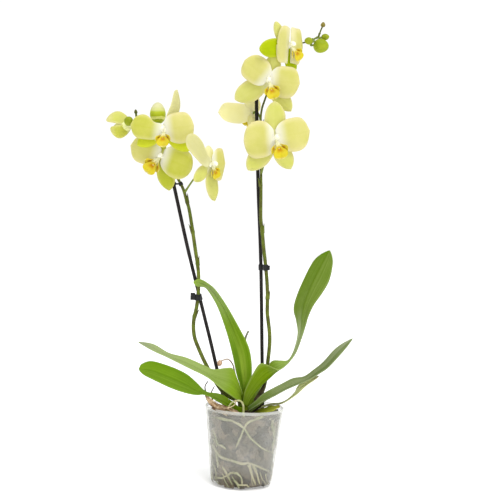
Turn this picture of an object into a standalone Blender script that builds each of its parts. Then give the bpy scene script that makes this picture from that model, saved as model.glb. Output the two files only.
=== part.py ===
# Potted moth orchid: a clear nursery pot with bark and roots, a fan of leaves on a short crown,
# two flower stems clipped to sticks, seven open flowers, one opening and six buds.
# Lengths are in millimetres and MM turns them into metres. +X is right, +Y is back, +Z is up.
# The origin is the middle of the pot's underside.

import math
import random

import bmesh
import bpy
from mathutils import Matrix, Vector

MM = 0.001
GAP = 0.35              # clearance between pieces that touch

# Pot
POT_HEIGHT = 118.0
POT_FOOT_RADIUS = 46.5
POT_TOP_RADIUS = 59.2
RIM_RADIUS = 60.3
RIM_HEIGHT = 4.5
WALL = 0.8
FLOOR = 1.4
POT_SIDES = 32
DRAIN_HOLES = 6
DRAIN_RADIUS = 4.0
DRAIN_RING = 29.0

# What fills it
ROOT_RADIUS = 2.0
ROOT_SPACE = 5.3        # ring between the wall and the bark, where the roots run
BARK_TOP = 101.0
CHIP_DEPTH = 2.4        # relief of the chips on the side
CHIP_RISE = 5.0         # relief of the chips on top
COLLAR_RADIUS = 11.0

# Plant
CROWN = [(103.0, 7.5, 6.5), (108.0, 10.5, 8.0), (116.0, 12.0, 8.0), (127.0, 11.0, 6.5),
         (138.0, 8.0, 5.0), (147.0, 3.5, 2.5)]      # height, half width, half depth
CROWN_X = 3.0
STICK_RADIUS = 2.0
STEM_RADIUS = 2.25
TWIG_RADIUS = 1.25      # flower stalks
LEAF_THICK = 1.9
LEAF_EDGE_THICK = 0.9
PETAL_THICK = 0.9
SHARP_ANGLE = 50        # edges folded by more than this many degrees stay sharp
HUB_FRONT = 1.1         # half the depth of the disc that a bloom's tepals grow from


# ---------------------------------------------------------------- helpers

def clear_scene():
    for item in list(bpy.data.objects):
        bpy.data.objects.remove(item, do_unlink=True)


def material(name, colour, roughness, alpha=1.0):
    made = bpy.data.materials.new(name)
    made.use_nodes = True
    shader = made.node_tree.nodes["Principled BSDF"]
    shader.inputs["Base Color"].default_value = (*colour, 1.0)
    shader.inputs["Roughness"].default_value = roughness
    shader.inputs["Metallic"].default_value = 0.0
    shader.inputs["Alpha"].default_value = alpha
    made.diffuse_color = (*colour, alpha)
    return made


def add_object(name, solid, finish):
    vertices, faces = solid
    mesh = bpy.data.meshes.new(name)
    mesh.from_pydata([tuple(Vector(v) * MM) for v in vertices], [], faces)
    edit = bmesh.new()
    edit.from_mesh(mesh)
    bmesh.ops.recalc_face_normals(edit, faces=edit.faces)
    edit.to_mesh(mesh)
    edit.free()
    mesh.materials.append(finish)
    made = bpy.data.objects.new(name, mesh)
    bpy.context.scene.collection.objects.link(made)
    return made


def bake(made):
    """Put the evaluated mesh in place of the modifiers."""
    graph = bpy.context.evaluated_depsgraph_get()
    mesh = bpy.data.meshes.new_from_object(made.evaluated_get(graph))
    made.modifiers.clear()
    made.data = mesh
    mesh.name = made.name
    edit = bmesh.new()
    edit.from_mesh(mesh)
    bmesh.ops.dissolve_degenerate(edit, dist=2e-6, edges=edit.edges)
    bmesh.ops.triangulate(edit, faces=edit.faces)
    edit.to_mesh(mesh)
    edit.free()


def boolean(made, solids, operation, solver="EXACT"):
    """Join solids to an object, or cut them out of it, in one collection Boolean."""
    group = bpy.data.collections.new("tools")
    bpy.context.scene.collection.children.link(group)
    tools = []
    for index, solid in enumerate(solids):
        tool = add_object(f"tool_{index}", solid, made.data.materials[0])
        bpy.context.scene.collection.objects.unlink(tool)
        group.objects.link(tool)
        tools.append(tool)
    step = made.modifiers.new("boolean", "BOOLEAN")
    step.operation = operation
    step.operand_type = "COLLECTION"
    step.collection = group
    step.solver = solver
    bake(made)
    for tool in tools:
        bpy.data.objects.remove(tool, do_unlink=True)
    bpy.data.collections.remove(group)


def keep_outer_body(made):
    """Fill any hollow that fusing sealed, and drop loose scraps: only the largest body stays."""
    edit = bmesh.new()
    edit.from_mesh(made.data)
    bodies = []
    waiting = set(edit.faces)
    while waiting:
        body = [waiting.pop()]
        for face in body:
            for edge in face.edges:
                for other in edge.link_faces:
                    if other in waiting:
                        waiting.remove(other)
                        body.append(other)
        volume = sum(f.calc_center_median().dot(f.normal) * f.calc_area() for f in body)
        bodies.append((volume, body))
    bodies.sort(key=lambda pair: pair[0])
    for _, body in bodies[:-1]:
        bmesh.ops.delete(edit, geom=body, context="FACES")
    edit.to_mesh(made.data)
    edit.free()


def fused(name, solids, finish, solver="EXACT"):
    made = add_object(name, solids[0], finish)
    if len(solids) > 1:
        boolean(made, solids[1:], "UNION", solver)
        keep_outer_body(made)
    return made


def smooth_path(points, count):
    """Evenly numbered points on a smooth curve through the given ones."""
    knots = [Vector(p) for p in points]
    spans = len(knots) - 1
    result = []
    for index in range(count):
        place = spans * index / (count - 1)
        span = min(int(place), spans - 1)
        t = place - span
        p1, p2 = knots[span], knots[span + 1]
        p0 = knots[span - 1] if span > 0 else p1 * 2 - p2
        p3 = knots[span + 2] if span + 2 <= spans else p2 * 2 - p1
        result.append(0.5 * (2 * p1 + (p2 - p0) * t + (2 * p0 - 5 * p1 + 4 * p2 - p3) * t ** 2
                             + (3 * p1 - p0 - 3 * p2 + p3) * t ** 3))
    return result


def blend_table(table, t):
    """Read a smooth value at t from (t, value) pairs."""
    for (t0, v0), (t1, v1) in zip(table, table[1:]):
        if t <= t1:
            share = (t - t0) / (t1 - t0)
            return v0 + (v1 - v0) * share
    return table[-1][1]


def tube(path, radii, sides):
    """A closed round bar along a path, with its radius given at each point."""
    count = len(path)
    if not isinstance(radii, (list, tuple)):
        radii = [radii] * count
    vertices = []
    across = None
    for index, point in enumerate(path):
        ahead = (path[min(index + 1, count - 1)] - path[max(index - 1, 0)]).normalized()
        if across is None:
            across = ahead.orthogonal().normalized()
        across = (across - ahead * across.dot(ahead)).normalized()
        side = ahead.cross(across)
        for step in range(sides):
            angle = 2 * math.pi * step / sides
            vertices.append(point + (across * math.cos(angle) + side * math.sin(angle)) * radii[index])
    faces = []
    for row in range(count - 1):
        for step in range(sides):
            a = row * sides + step
            b = row * sides + (step + 1) % sides
            faces.append((a, b, b + sides, a + sides))
    faces.append(tuple(reversed(range(sides))))
    faces.append(tuple(range((count - 1) * sides, count * sides)))
    return vertices, faces


def egg(base, tip, width, sides=9, rings=6, blunt=0.35):
    """A closed bud shape from its base point to its tip."""
    base, tip = Vector(base), Vector(tip)
    path, radii = [], []
    for ring in range(rings + 1):
        t = ring / rings
        turn = math.pi * (0.06 + 0.88 * t)
        path.append(base.lerp(tip, 0.5 - 0.5 * math.cos(turn) / math.cos(math.pi * 0.06)))
        radii.append(width / 2 * math.sin(turn) * (1 + blunt * math.cos(turn)))
    return tube(path, radii, sides)


def blade(grid, thick_mid, thick_edge=None):
    """A closed thin sheet round a grid of mid-surface points, cut into the same triangles on both faces."""
    thick_edge = thick_mid if thick_edge is None else thick_edge
    rows, columns = len(grid), len(grid[0])
    vertices = []
    for face in (0.5, -0.5):
        for i in range(rows):
            for j in range(columns):
                along = grid[min(i + 1, rows - 1)][j] - grid[max(i - 1, 0)][j]
                across = grid[i][min(j + 1, columns - 1)] - grid[i][max(j - 1, 0)]
                out = along.cross(across).normalized()
                edge = abs(2 * j / (columns - 1) - 1) ** 2
                thick = thick_mid + (thick_edge - thick_mid) * edge
                vertices.append(grid[i][j] + out * thick * face)
    size = rows * columns
    faces = []
    for i in range(rows - 1):
        for j in range(columns - 1):
            a = i * columns + j
            b, c, d = a + 1, a + columns + 1, a + columns
            for triangle in ((a, b, c), (a, c, d)):
                faces.append(triangle)
                faces.append(tuple(size + v for v in reversed(triangle)))
    border = [j for j in range(columns)]
    border += [i * columns + columns - 1 for i in range(1, rows)]
    border += [(rows - 1) * columns + j for j in range(columns - 2, -1, -1)]
    border += [i * columns for i in range(rows - 2, 0, -1)]
    for a, b in zip(border, border[1:] + border[:1]):
        faces.append((b, a, size + a))
        faces.append((b, size + a, size + b))
    return vertices, faces


# ---------------------------------------------------------------- pot and its filling

def pot_inside(height):
    """Inner radius of the pot wall at a height."""
    return POT_FOOT_RADIUS + (POT_TOP_RADIUS - POT_FOOT_RADIUS) * height / (POT_HEIGHT - RIM_HEIGHT) - WALL


def turned(profile, sides):
    """A closed ring or disc turned from (radius, height) points; a radius of 0 is a pole."""
    vertices, rings, faces = [], [], []
    for radius, height in profile:
        if radius == 0:
            rings.append([len(vertices)])
            vertices.append(Vector((0, 0, height)))
            continue
        rings.append([len(vertices) + k for k in range(sides)])
        for k in range(sides):
            angle = 2 * math.pi * k / sides
            vertices.append(Vector((radius * math.sin(angle), -radius * math.cos(angle), height)))
    for low, high in zip(rings, rings[1:]):
        for k in range(sides):
            n = (k + 1) % sides
            if len(low) == 1:
                faces.append((low[0], high[n], high[k]))
            elif len(high) == 1:
                faces.append((low[k], low[n], high[0]))
            else:
                faces.append((low[k], low[n], high[n], high[k]))
    return vertices, faces


def rod(start, end, radius, sides=10):
    return tube([Vector(start), Vector(end)], radius, sides)


def build_pot(finish):
    neck = POT_HEIGHT - RIM_HEIGHT
    profile = [
        (0, 0), (POT_FOOT_RADIUS - 4, 0), (POT_FOOT_RADIUS - 1, 1.2), (POT_FOOT_RADIUS + 0.4, 4.5),
        (POT_TOP_RADIUS, neck), (RIM_RADIUS, neck + 0.8), (RIM_RADIUS, POT_HEIGHT - 0.8),
        (RIM_RADIUS - 0.9, POT_HEIGHT), (POT_TOP_RADIUS - WALL, POT_HEIGHT - 0.9),
        (pot_inside(neck), neck), (pot_inside(5), 5.0), (POT_FOOT_RADIUS - 4, FLOOR), (0, FLOOR),
    ]
    pot = add_object("pot", turned(profile, POT_SIDES), finish)
    drains = []
    for k in range(DRAIN_HOLES):
        angle = 2 * math.pi * (k + 0.5) / DRAIN_HOLES
        x, y = DRAIN_RING * math.sin(angle), DRAIN_RING * math.cos(angle)
        drains.append(rod((x, y, -3), (x, y, FLOOR + 3), DRAIN_RADIUS, 8))
    boolean(pot, drains, "DIFFERENCE")


def build_bark(finish, holes):
    """Bark chips as relief on one body, with a plain hole for each stick."""
    chance = random.Random(11)
    sides, levels = 26, 8
    floor = FLOOR + GAP
    profile = [(0, floor), (pot_inside(2) - ROOT_SPACE - 3, floor)]
    for k in range(levels):
        height = 6 + (BARK_TOP - 14) * k / (levels - 1)
        profile.append((pot_inside(height) - ROOT_SPACE, height))
    profile += [(47, BARK_TOP - 3), (36, BARK_TOP), (24, BARK_TOP), (COLLAR_RADIUS + 1, BARK_TOP - 4), (0, BARK_TOP - 4)]
    vertices, faces = turned(profile, sides)
    for v in vertices:
        radius = math.hypot(v.x, v.y)
        if radius > 14 and v.z > 5:
            on_top = v.z > BARK_TOP - 4
            if on_top:
                v.z -= CHIP_RISE * chance.random()
            inward = CHIP_DEPTH * chance.random() / radius
            v.x -= v.x * inward
            v.y -= v.y * inward
    bark = add_object("bark_mix", (vertices, faces), finish)
    boolean(bark, holes, "DIFFERENCE")


# Roots against the wall: (bearing from the front in degrees, right positive; height) from top to bottom.
WALL_ROOTS = [
    [(-62, 99), (-37, 105), (-18, 103), (-7, 99), (2, 93), (10, 82), (24, 70), (42, 60), (66, 54)],
    [(30, 108), (14, 106), (5, 101), (1, 94), (-3, 84), (-11, 64)],
    [(-78, 84), (-66, 66), (-51, 51), (-38, 46), (-5, 41), (13, 41), (32, 35), (54, 27), (84, 15)],
    [(13, 41), (16, 32), (22, 19), (29, 8)],
    [(20, 39), (28, 27), (38, 9)],
    [(46, 104), (54, 88), (66, 74), (92, 56)],
    [(-50, 51), (-33, 30), (-25, 18), (-16, 8)],
    [(110, 104), (104, 80), (122, 60), (118, 34), (138, 14)],
    [(150, 102), (164, 84), (150, 62), (172, 40), (160, 12)],
    [(-158, 104), (-148, 78), (-166, 56), (-150, 30), (-134, 10)],
    [(-112, 102), (-104, 76), (-122, 52), (-108, 24)],
]
# Roots in the air, each from the collar or from a root on the bark: a loop at the front, a thin arch whose tip
# hangs at the left, and a thin one behind the upright leaf.
AERIAL_ROOTS = [
    ([(0, -39, 104), (-1, -35, 112), (-2, -33, 124), (-6, -32, 130), (-13, -32, 130), (-20, -32, 126),
      (-25, -33, 118), (-28, -33, 106)], 2.0),
    ([(-5, 7, 100), (-8, 13, 110), (-11, 13, 130), (-13, 11, 150), (-17, 8, 166), (-21, 3, 180), (-28, -3, 188),
      (-35, -6, 187), (-40, -9, 184), (-42, -10, 179)], 1.4),
    ([(5, 7, 100), (5, 14, 112), (3, 15, 140), (-1, 13, 184), (-3, 11, 209), (-3, 9, 221), (1, 7, 231)], 1.4),
]
# Roots that leave the crown, cross the bark and meet the top of a wall root (its number, starts at 0).
FEEDERS = [0, 1, 2, 5, 7, 8, 9, 10]


def wall_point(bearing, height):
    radius = pot_inside(height) - ROOT_RADIUS - GAP
    angle = math.radians(bearing)
    return Vector((radius * math.sin(angle), -radius * math.cos(angle), height))


def build_roots(finish):
    collar = [(0, BARK_TOP - 3.6), (COLLAR_RADIUS - 2, BARK_TOP - 3.6), (COLLAR_RADIUS, BARK_TOP - 1),
              (COLLAR_RADIUS - 3, CROWN[0][0] - GAP), (0, CROWN[0][0] - GAP)]
    solids = [turned(collar, 12)]
    for number, route in enumerate(WALL_ROOTS):
        path = []
        if number in FEEDERS:
            bearing, height = route[0]
            angle = math.radians(bearing)
            for radius, rise in ((4, BARK_TOP - 1), (13, BARK_TOP - 0.6), (27, BARK_TOP + 3), (41, BARK_TOP + 3.5)):
                path.append(Vector((radius * math.sin(angle), -radius * math.cos(angle), rise)))
            rim = wall_point(bearing, max(height, BARK_TOP - 1) + 3)
            path.append(rim)
            route = route if height < BARK_TOP - 3 else route[1:]
        path += [wall_point(*place) for place in route]
        count = round(1.7 * len(path))
        smooth = smooth_path(path, count)
        on_wall = [hold_to_wall(p) if k > 5 or number not in FEEDERS else p for k, p in enumerate(smooth)]
        radii = [ROOT_RADIUS * (1 - 0.35 * k / count) for k in range(count)]
        solids.append(tube(on_wall, radii, 5))
    for route, radius in AERIAL_ROOTS:
        path = smooth_path(route, 2 * len(route) - 1)
        radii = [radius * (1 - 0.3 * k / len(path)) for k in range(len(path))]
        solids.append(tube(path, radii, 5))
    fused("roots", solids, finish, "MANIFOLD")


def hold_to_wall(point):
    """Keep a root's point on the ring between the bark and the wall."""
    height = min(max(point.z, 4.0), POT_HEIGHT - 8)
    bearing = math.degrees(math.atan2(point.x, -point.y))
    return wall_point(bearing, height)


# ---------------------------------------------------------------- crown and leaves

def crown_solid(extra=0.0):
    """The short stem with its sheaths, from stacked ovals; extra makes it larger all round."""
    sides = 14
    vertices, faces = [], []
    for level, (height, half_width, half_depth) in enumerate(CROWN):
        height += extra * (-1 if level == 0 else 1 if level == len(CROWN) - 1 else 0)
        for k in range(sides):
            angle = 2 * math.pi * k / sides
            vertices.append(Vector((CROWN_X + (half_width + extra) * math.sin(angle),
                                    -(half_depth + extra) * math.cos(angle), height)))
    for level in range(len(CROWN) - 1):
        for k in range(sides):
            a, b = level * sides + k, level * sides + (k + 1) % sides
            faces.append((a, b, b + sides, a + sides))
    faces.append(tuple(reversed(range(sides))))
    faces.append(tuple(range(len(vertices) - sides, len(vertices))))
    return vertices, faces


# Each leaf by its rails from base to tip: one edge, the other edge, and how far the rib hangs from the
# middle of the two, as a vector at the base that fades to the tip, or as its own rail.
LEAVES = {
    "leaf_upper_left": {
        "far": [(0, -2, 127), (-11, -7, 156), (-20, -10, 175), (-32, -12, 176), (-49, -14, 174), (-65, -15, 179),
                (-93, -15, 190), (-119, -14, 196), (-142, -14, 207), (-165, -18, 211)],
        "near": [(0, -4, 121), (-12, -12, 128), (-24, -20, 137), (-35, -28, 146), (-52, -31, 159), (-69, -33, 169),
                 (-91, -33, 179), (-117, -30, 189), (-138, -25, 197), (-164, -20, 209)],
        "sag": (4, 7, -6), "rows": 14,
    },
    "leaf_lower_left": {
        "far": [(1, -4, 116), (-8, -16, 119), (-19, -24, 128), (-38, -28, 139), (-57, -35, 143), (-72, -32, 154), (-90, -30, 167),
                (-114, -32, 178), (-140, -38, 185), (-154, -46, 181), (-158, -51, 175)],
        "near": [(1, -5, 108), (-8, -18, 111), (-20, -27, 118), (-38, -35, 128), (-58, -41, 139), (-72, -52, 139), (-89, -62, 144),
                 (-113, -66, 152), (-137, -64, 161), (-150, -60, 167), (-158, -53, 172)],
        "sag": (2, 2, -6), "rows": 15,
    },
    "leaf_upright": {
        "far": [(-4, 1, 121), (-9, 0, 139), (-14, -4, 165), (-22, -8, 196), (-33, -14, 231), (-48, -22, 270),
                (-64, -32, 294), (-73, -40, 298), (-79, -50, 299), (-83, -56, 304)],
        "near": [(5, -1, 121), (8, -2, 140), (9, -8, 167), (4, -14, 205), (-12, -22, 237), (-30, -28, 266),
                 (-50, -34, 293), (-62, -40, 304), (-74, -50, 310), (-83, -56, 307)],
        "sag": (0, 8, 0), "rows": 14,
    },
    "leaf_tall_right": {
        "far": [(12, 1, 121), (24, 4, 138), (30, 6, 158), (33, 4, 177), (40, 4, 188), (52, 0, 190), (63, -4, 192),
                (71, -6, 207), (76, -6, 232), (73, -4, 250), (68, -4, 269), (72, -6, 291), (82, -10, 319),
                (93, -18, 343), (107, -28, 360)],
        "near": [(6, -5, 125), (6, -13, 143), (11, -20, 167), (20, -22, 186), (32, -22, 185), (48, -20, 178),
                 (61, -16, 186), (74, -12, 202), (83, -12, 230), (88, -16, 251), (96, -22, 275), (108, -26, 295),
                 (118, -30, 315), (122, -34, 338), (121, -38, 358)],
        "rib": [(10, -2, 120), (19, -7, 134), (27, -8, 149), (34, -10, 162), (45, -10, 173), (54, -10, 180),
                (64, -9, 189), (73, -8, 206), (79, -8, 231), (81, -9, 251), (84, -12, 277), (92, -16, 303),
                (101, -22, 326), (110, -29, 347), (116, -35, 361)],
        "rows": 18,
    },
    "leaf_long_right": {
        "far": [(8, -4, 117), (16, -15, 124), (25, -16, 135), (37, -14, 144), (52, -10, 155), (70, -14, 165), (88, -18, 169),
                (102, -22, 182), (116, -24, 195), (134, -28, 216), (156, -34, 233)],
        "near": [(6, -5, 109), (15, -19, 116), (27, -26, 126), (42, -31, 136), (58, -34, 147), (75, -40, 158), (92, -44, 168),
                 (106, -46, 177), (121, -46, 187), (139, -42, 208), (157, -36, 230)],
        "sag": (3, 0, -6), "rows": 14,
    },
    "leaf_thin_stalked": {
        "far": [(8, 5, 112), (27, 9, 118), (42, 4, 123), (54, -3, 126), (65, -8, 133), (75, -12, 144),
                (79, -14, 154), (87, -16, 161), (98, -17, 167), (110, -18, 172)],
        "near": [(8, 2, 110.5), (27, 6, 116), (42, 1, 121), (54, -6, 124), (66, -11, 131), (78, -16, 141),
                 (84, -20, 148), (92, -23, 156), (101, -22, 163), (110, -20, 170)],
        "sag": (0, 0, -1), "rows": 13,
    },
    "leaf_stub": {
        "far": [(9, -1, 109), (24, -7, 115), (36, -8, 120), (47, -8, 122), (54, -12, 123)],
        "near": [(8, -3, 104.5), (23, -21, 110), (36, -28, 115), (47, -25, 119), (54, -15, 121)],
        "sag": (0, 0, -3), "rows": 6,
    },
}


def leaf_grid(leaf, columns=5):
    rows = leaf["rows"]
    far = smooth_path(leaf["far"], rows)
    near = smooth_path(leaf["near"], rows)
    if "rib" in leaf:
        rib = smooth_path(leaf["rib"], rows)
    else:
        sag = Vector(leaf["sag"])
        rib = [(a + b) / 2 + sag * (1 - k / (rows - 1)) for k, (a, b) in enumerate(zip(far, near))]
    grid = []
    for a, m, b in zip(far, rib, near):
        line = []
        for column in range(columns):
            v = 2 * column / (columns - 1) - 1
            line.append(m + (b - a) / 2 * v + ((a + b) / 2 - m) * abs(v) ** 1.5)
        grid.append(line)
    return grid


def build_leaves(finish, old_finish, clear):
    for name, leaf in LEAVES.items():
        old = name in ("leaf_thin_stalked", "leaf_stub")
        grid = leaf_grid(leaf, 3 if name == "leaf_thin_stalked" else 5)
        made = add_object(name, blade(grid, LEAF_THICK, LEAF_EDGE_THICK), old_finish if old else finish)
        boolean(made, clear, "DIFFERENCE", "MANIFOLD")
        keep_outer_body(made)


# ---------------------------------------------------------------- flower stems, sticks and clips

LEFT_STEM = [(-5, 3, 124), (-22, 4, 129), (-35, 4, 138), (-48, 4, 155), (-63, 3, 182), (-74, 2, 205), (-82, 1, 228),
             (-83, 1, 245), (-79, 1, 268), (-78, 1, 284), (-78, 1, 307), (-79, 1, 331), (-84, 0, 352), (-90, 0, 384),
             (-97, 0, 415), (-105, 0, 443), (-114, 2, 454), (-129, 4, 478), (-146, 6, 506), (-164, 6, 531),
             (-178, 5, 545), (-185, 3, 552), (-186, 2, 558)]
RIGHT_STEM = [(9, 5, 123), (18, 13, 129), (28, 14, 140), (33, 14, 160), (34, 12, 185), (36, 9, 212), (34, 7, 233),
              (27, 5, 280), (22, 5, 327), (20, 5, 356), (18, 5, 385), (14, 5, 418), (12, 5, 449), (10, 6, 479),
              (7, 8, 526), (5, 8, 557), (6, 8, 573), (10, 9, 588), (17, 12, 611), (25, 14, 638), (36, 14, 660),
              (53, 12, 674), (69, 8, 679), (81, 4, 683), (87, 2, 687), (90, 1, 695), (93, 0, 703)]
STEM_STEPS = {"left": 31, "right": 37}
LEFT_STICK = [(-125, 4, 456), (-7, 20, 30)]
RIGHT_STICK = [(-4, 10, 604), (33, 26, 30)]
# Nodes with a bract: place on the stem from 0 to 1, and the side it points to.
LEFT_NODES = [(0.33, 1), (0.50, 1), (0.585, -1), (0.655, 1)]
RIGHT_NODES = [(0.27, -1), (0.385, 1), (0.47, -1), (0.56, 1)]


def stem_line(route, count):
    """The points and radii of a flower stem, which thins over its upper part."""
    path = smooth_path(route, count)
    thin = [(0, 1.05), (0.45, 1.0), (0.58, 0.7), (1, 0.42)]
    radii = [STEM_RADIUS * blend_table(thin, k / (count - 1)) for k in range(count)]
    return path, radii


def stem_parts(route, nodes, count):
    """A flower stem, its swollen nodes, and a small bract at each."""
    path, radii = stem_line(route, count)
    solids = [tube(path, radii, 6)]
    for place, side in nodes:
        at = smooth_path(route, 201)[round(200 * place)]
        after = smooth_path(route, 201)[round(200 * place) + 6]
        up = (after - at).normalized()
        out = Vector((side, -0.2, 0))
        out = (out - up * out.dot(up)).normalized()
        foot = at + out * 0.8
        solids.append(tube([foot - up * 2.5, foot + up * 2, foot + out * 3 + up * 11], [2.3, 2.9, 0.5], 6))
    return solids


def build_stick(name, ends, finish):
    top, foot = Vector(ends[0]), Vector(ends[1])
    path = [foot, foot.lerp(top, 0.01), foot.lerp(top, 0.994), top]
    add_object(name, tube(path, [0.9, STICK_RADIUS, STICK_RADIUS, 1.0], 8), finish)


def stick_hole(ends):
    """The plain hole that a stick stands in."""
    top, foot = Vector(ends[0]), Vector(ends[1])
    along = (top - foot).normalized()
    return tube([foot - along * 1.0, top], STICK_RADIUS + GAP, 8)


def at_height(route, height):
    """The point and direction of a stem or stick at a height."""
    path = smooth_path(route, 401)
    nearest = min(range(5, 396), key=lambda k: abs(path[k].z - height))
    return path[nearest], (path[nearest + 3] - path[nearest - 3]).normalized()


def build_clip(name, stem, count, stick, height, tall, tab, finish):
    """A plastic clip: a ring round the stem and a ring round the stick, a web, and a finger tab of a length."""
    at_stem, up = at_height(stem, height)
    at_stick, stick_up = at_height(stick, height)
    shell = 1.4
    path, radii = stem_line(stem, count)
    level = min(range(count), key=lambda k: abs(path[k].z - height))
    stem_radius = radii[level]
    solids = [
        tube([at_stem - up * tall, at_stem + up * tall], stem_radius + GAP + shell, 8),
        tube([at_stick - stick_up * tall, at_stick + stick_up * tall], STICK_RADIUS + GAP + shell, 8),
        tube([at_stem, at_stick], [1.6, 1.6], 4),
    ]
    if tab:
        out = Vector((math.copysign(1, tab), -0.3, 0)).normalized()
        root = stem_radius + GAP + shell * 0.5
        solids.append(tube([at_stem + out * root, at_stem + out * (root + abs(tab))], [3.0, 4.2], 4))
    clip = fused(name, solids, finish)
    near = slice(level - 2, level + 3)
    bores = [
        tube(path[near], [r * 1.06 + GAP for r in radii[near]], 8),
        tube([at_stick - stick_up * 9, at_stick + stick_up * 9], STICK_RADIUS + GAP, 8),
    ]
    boolean(clip, bores, "DIFFERENCE")


# ---------------------------------------------------------------- flowers

# Outlines as (share of the length, share of the width).
PETAL_OUTLINE = [(0, 0.22), (0.18, 0.58), (0.42, 0.94), (0.62, 1.0), (0.82, 0.84), (0.94, 0.54), (1, 0.26)]
SEPAL_OUTLINE = [(0, 0.34), (0.22, 0.74), (0.48, 1.0), (0.72, 0.9), (0.9, 0.58), (1, 0.24)]
PETAL_ROWS = (0, 0.24, 0.54, 0.83, 1)
SEPAL_ROWS = (0, 0.28, 0.6, 0.86, 1)

# Each bloom: its middle, where it looks (degrees right of the viewer, degrees up), then its parts by where their
# tips stand from the middle, as (across, up, width), or with a turn about their own length, in degrees.
BLOOMS = {
    "bloom_right_1": {
        "middle": (28, -34, 524), "looks": (14, -8), "lip": (6, -30),
        "petals": [(-46, 0, 54), (51, 12, 52)],
        "sepals": [(-2, 54, 33), (-36, -51, 28), (27, -44, 27)],
    },
    "bloom_right_2": {
        "middle": (-7, 26, 569), "looks": (-150, -8), "lip": (-3, -15), "lip_size": 0.6,
        "petals": [(-53, -7, 32), (4, 23, 16)],
        "sepals": [(-13, 40, 22), (-9, -21, 14), (3, -20, 12)],
    },
    "bloom_right_3": {
        "middle": (14, -26, 611), "looks": (6, -12), "lip": (5, -26), "lip_size": 0.9,
        "petals": [(-37, 26, 45), (48, -5, 46)],
        "sepals": [(9, 38, 24), (-50, -27, 29), (34, -44, 24)],
    },
    "bloom_right_4": {
        "middle": (43, -24, 665), "looks": (38, -6), "lip": (12, -22), "lip_size": 0.85,
        "petals": [(-25, -13, 56), (15, 22, 56)],
        "sepals": [(-20, 30, 20, -15), (-42, -14, 28), (12, -39, 24)],
    },
    "bloom_left_1": {
        "middle": (-67, -16, 482), "looks": (48, -6), "lip": (8, -24), "lip_size": 0.75,
        "petals": [(-27, 30, 30), (19, 4, 44)],
        "sepals": [(-3, 26, 26), (-18, -25, 24, 10), (12, -54, 27)],
    },
    "bloom_left_2": {
        "middle": (-143, -13, 492), "looks": (-14, -12), "lip": (-19, -27),
        "petals": [(-48, 15, 42), (48, -18, 46)],
        "sepals": [(-10, 33, 24), (-18, -24, 20), (12, -52, 29)],
    },
    "bloom_left_3": {
        "middle": (-139, -34, 529), "looks": (-4, -4), "lip": (3, -25), "lip_size": 0.85,
        "petals": [(-50, -2, 46), (45, 7, 50)],
        "sepals": [(21, 59, 20, 50), (-40, -24, 24), (40, -29, 24)],
    },
}


def looking(bloom):
    right, up = (math.radians(a) for a in bloom["looks"])
    return Vector((math.sin(right) * math.cos(up), -math.cos(right) * math.cos(up), math.sin(up)))


def tip_in_plane(bloom, across, up, forward=0.0):
    """Where a tip stands in space, so that it lies in the bloom's own plane and shows at (across, up)."""
    facing = looking(bloom)
    depth = (forward - across * facing.x - up * facing.z) / facing.y
    return Vector(bloom["middle"]) + Vector((across, depth, up))


def tepal_grid(bloom, tip_place, outline, rows, columns, layer, cup, reflex):
    """The mid surface of one petal or sepal."""
    across, up, width = tip_place[:3]
    turn = math.radians(tip_place[3]) if len(tip_place) > 3 else 0.0
    middle = Vector(bloom["middle"])
    tip = tip_in_plane(bloom, across, up)
    along = (tip - middle).normalized()
    length = (tip - middle).length
    normal = looking(bloom)
    normal = (normal - along * normal.dot(along)).normalized()
    grid = []
    for share in rows:
        spin = turn * min(1, share * 2.5)
        out = Matrix.Rotation(spin, 3, along) @ normal
        side = out.cross(along)
        half = width / 2 * blend_table(outline, share)
        line = []
        for column in range(columns):
            v = 2 * column / (columns - 1) - 1
            rise = layer * (0.2 + 0.8 * min(1, share * 3)) + cup * math.sin(math.pi * share)
            rise -= reflex * v * v * min(1, share * 2)
            line.append(middle + along * (1.5 + (length - 1.5) * share) + side * half * v + out * rise)
        grid.append(line)
    return grid


def bloom_frame(bloom):
    """Axes of a bloom: across, forward and up, with down towards the lip's tip."""
    forward = looking(bloom)
    down = tip_in_plane(bloom, *bloom["lip"]) - Vector(bloom["middle"])
    up = -(down - forward * down.dot(forward)).normalized()
    return forward.cross(up), forward, up


def local(bloom, x, y, z):
    across, forward, up = bloom_frame(bloom)
    return Vector(bloom["middle"]) + across * x + forward * y + up * z


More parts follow.
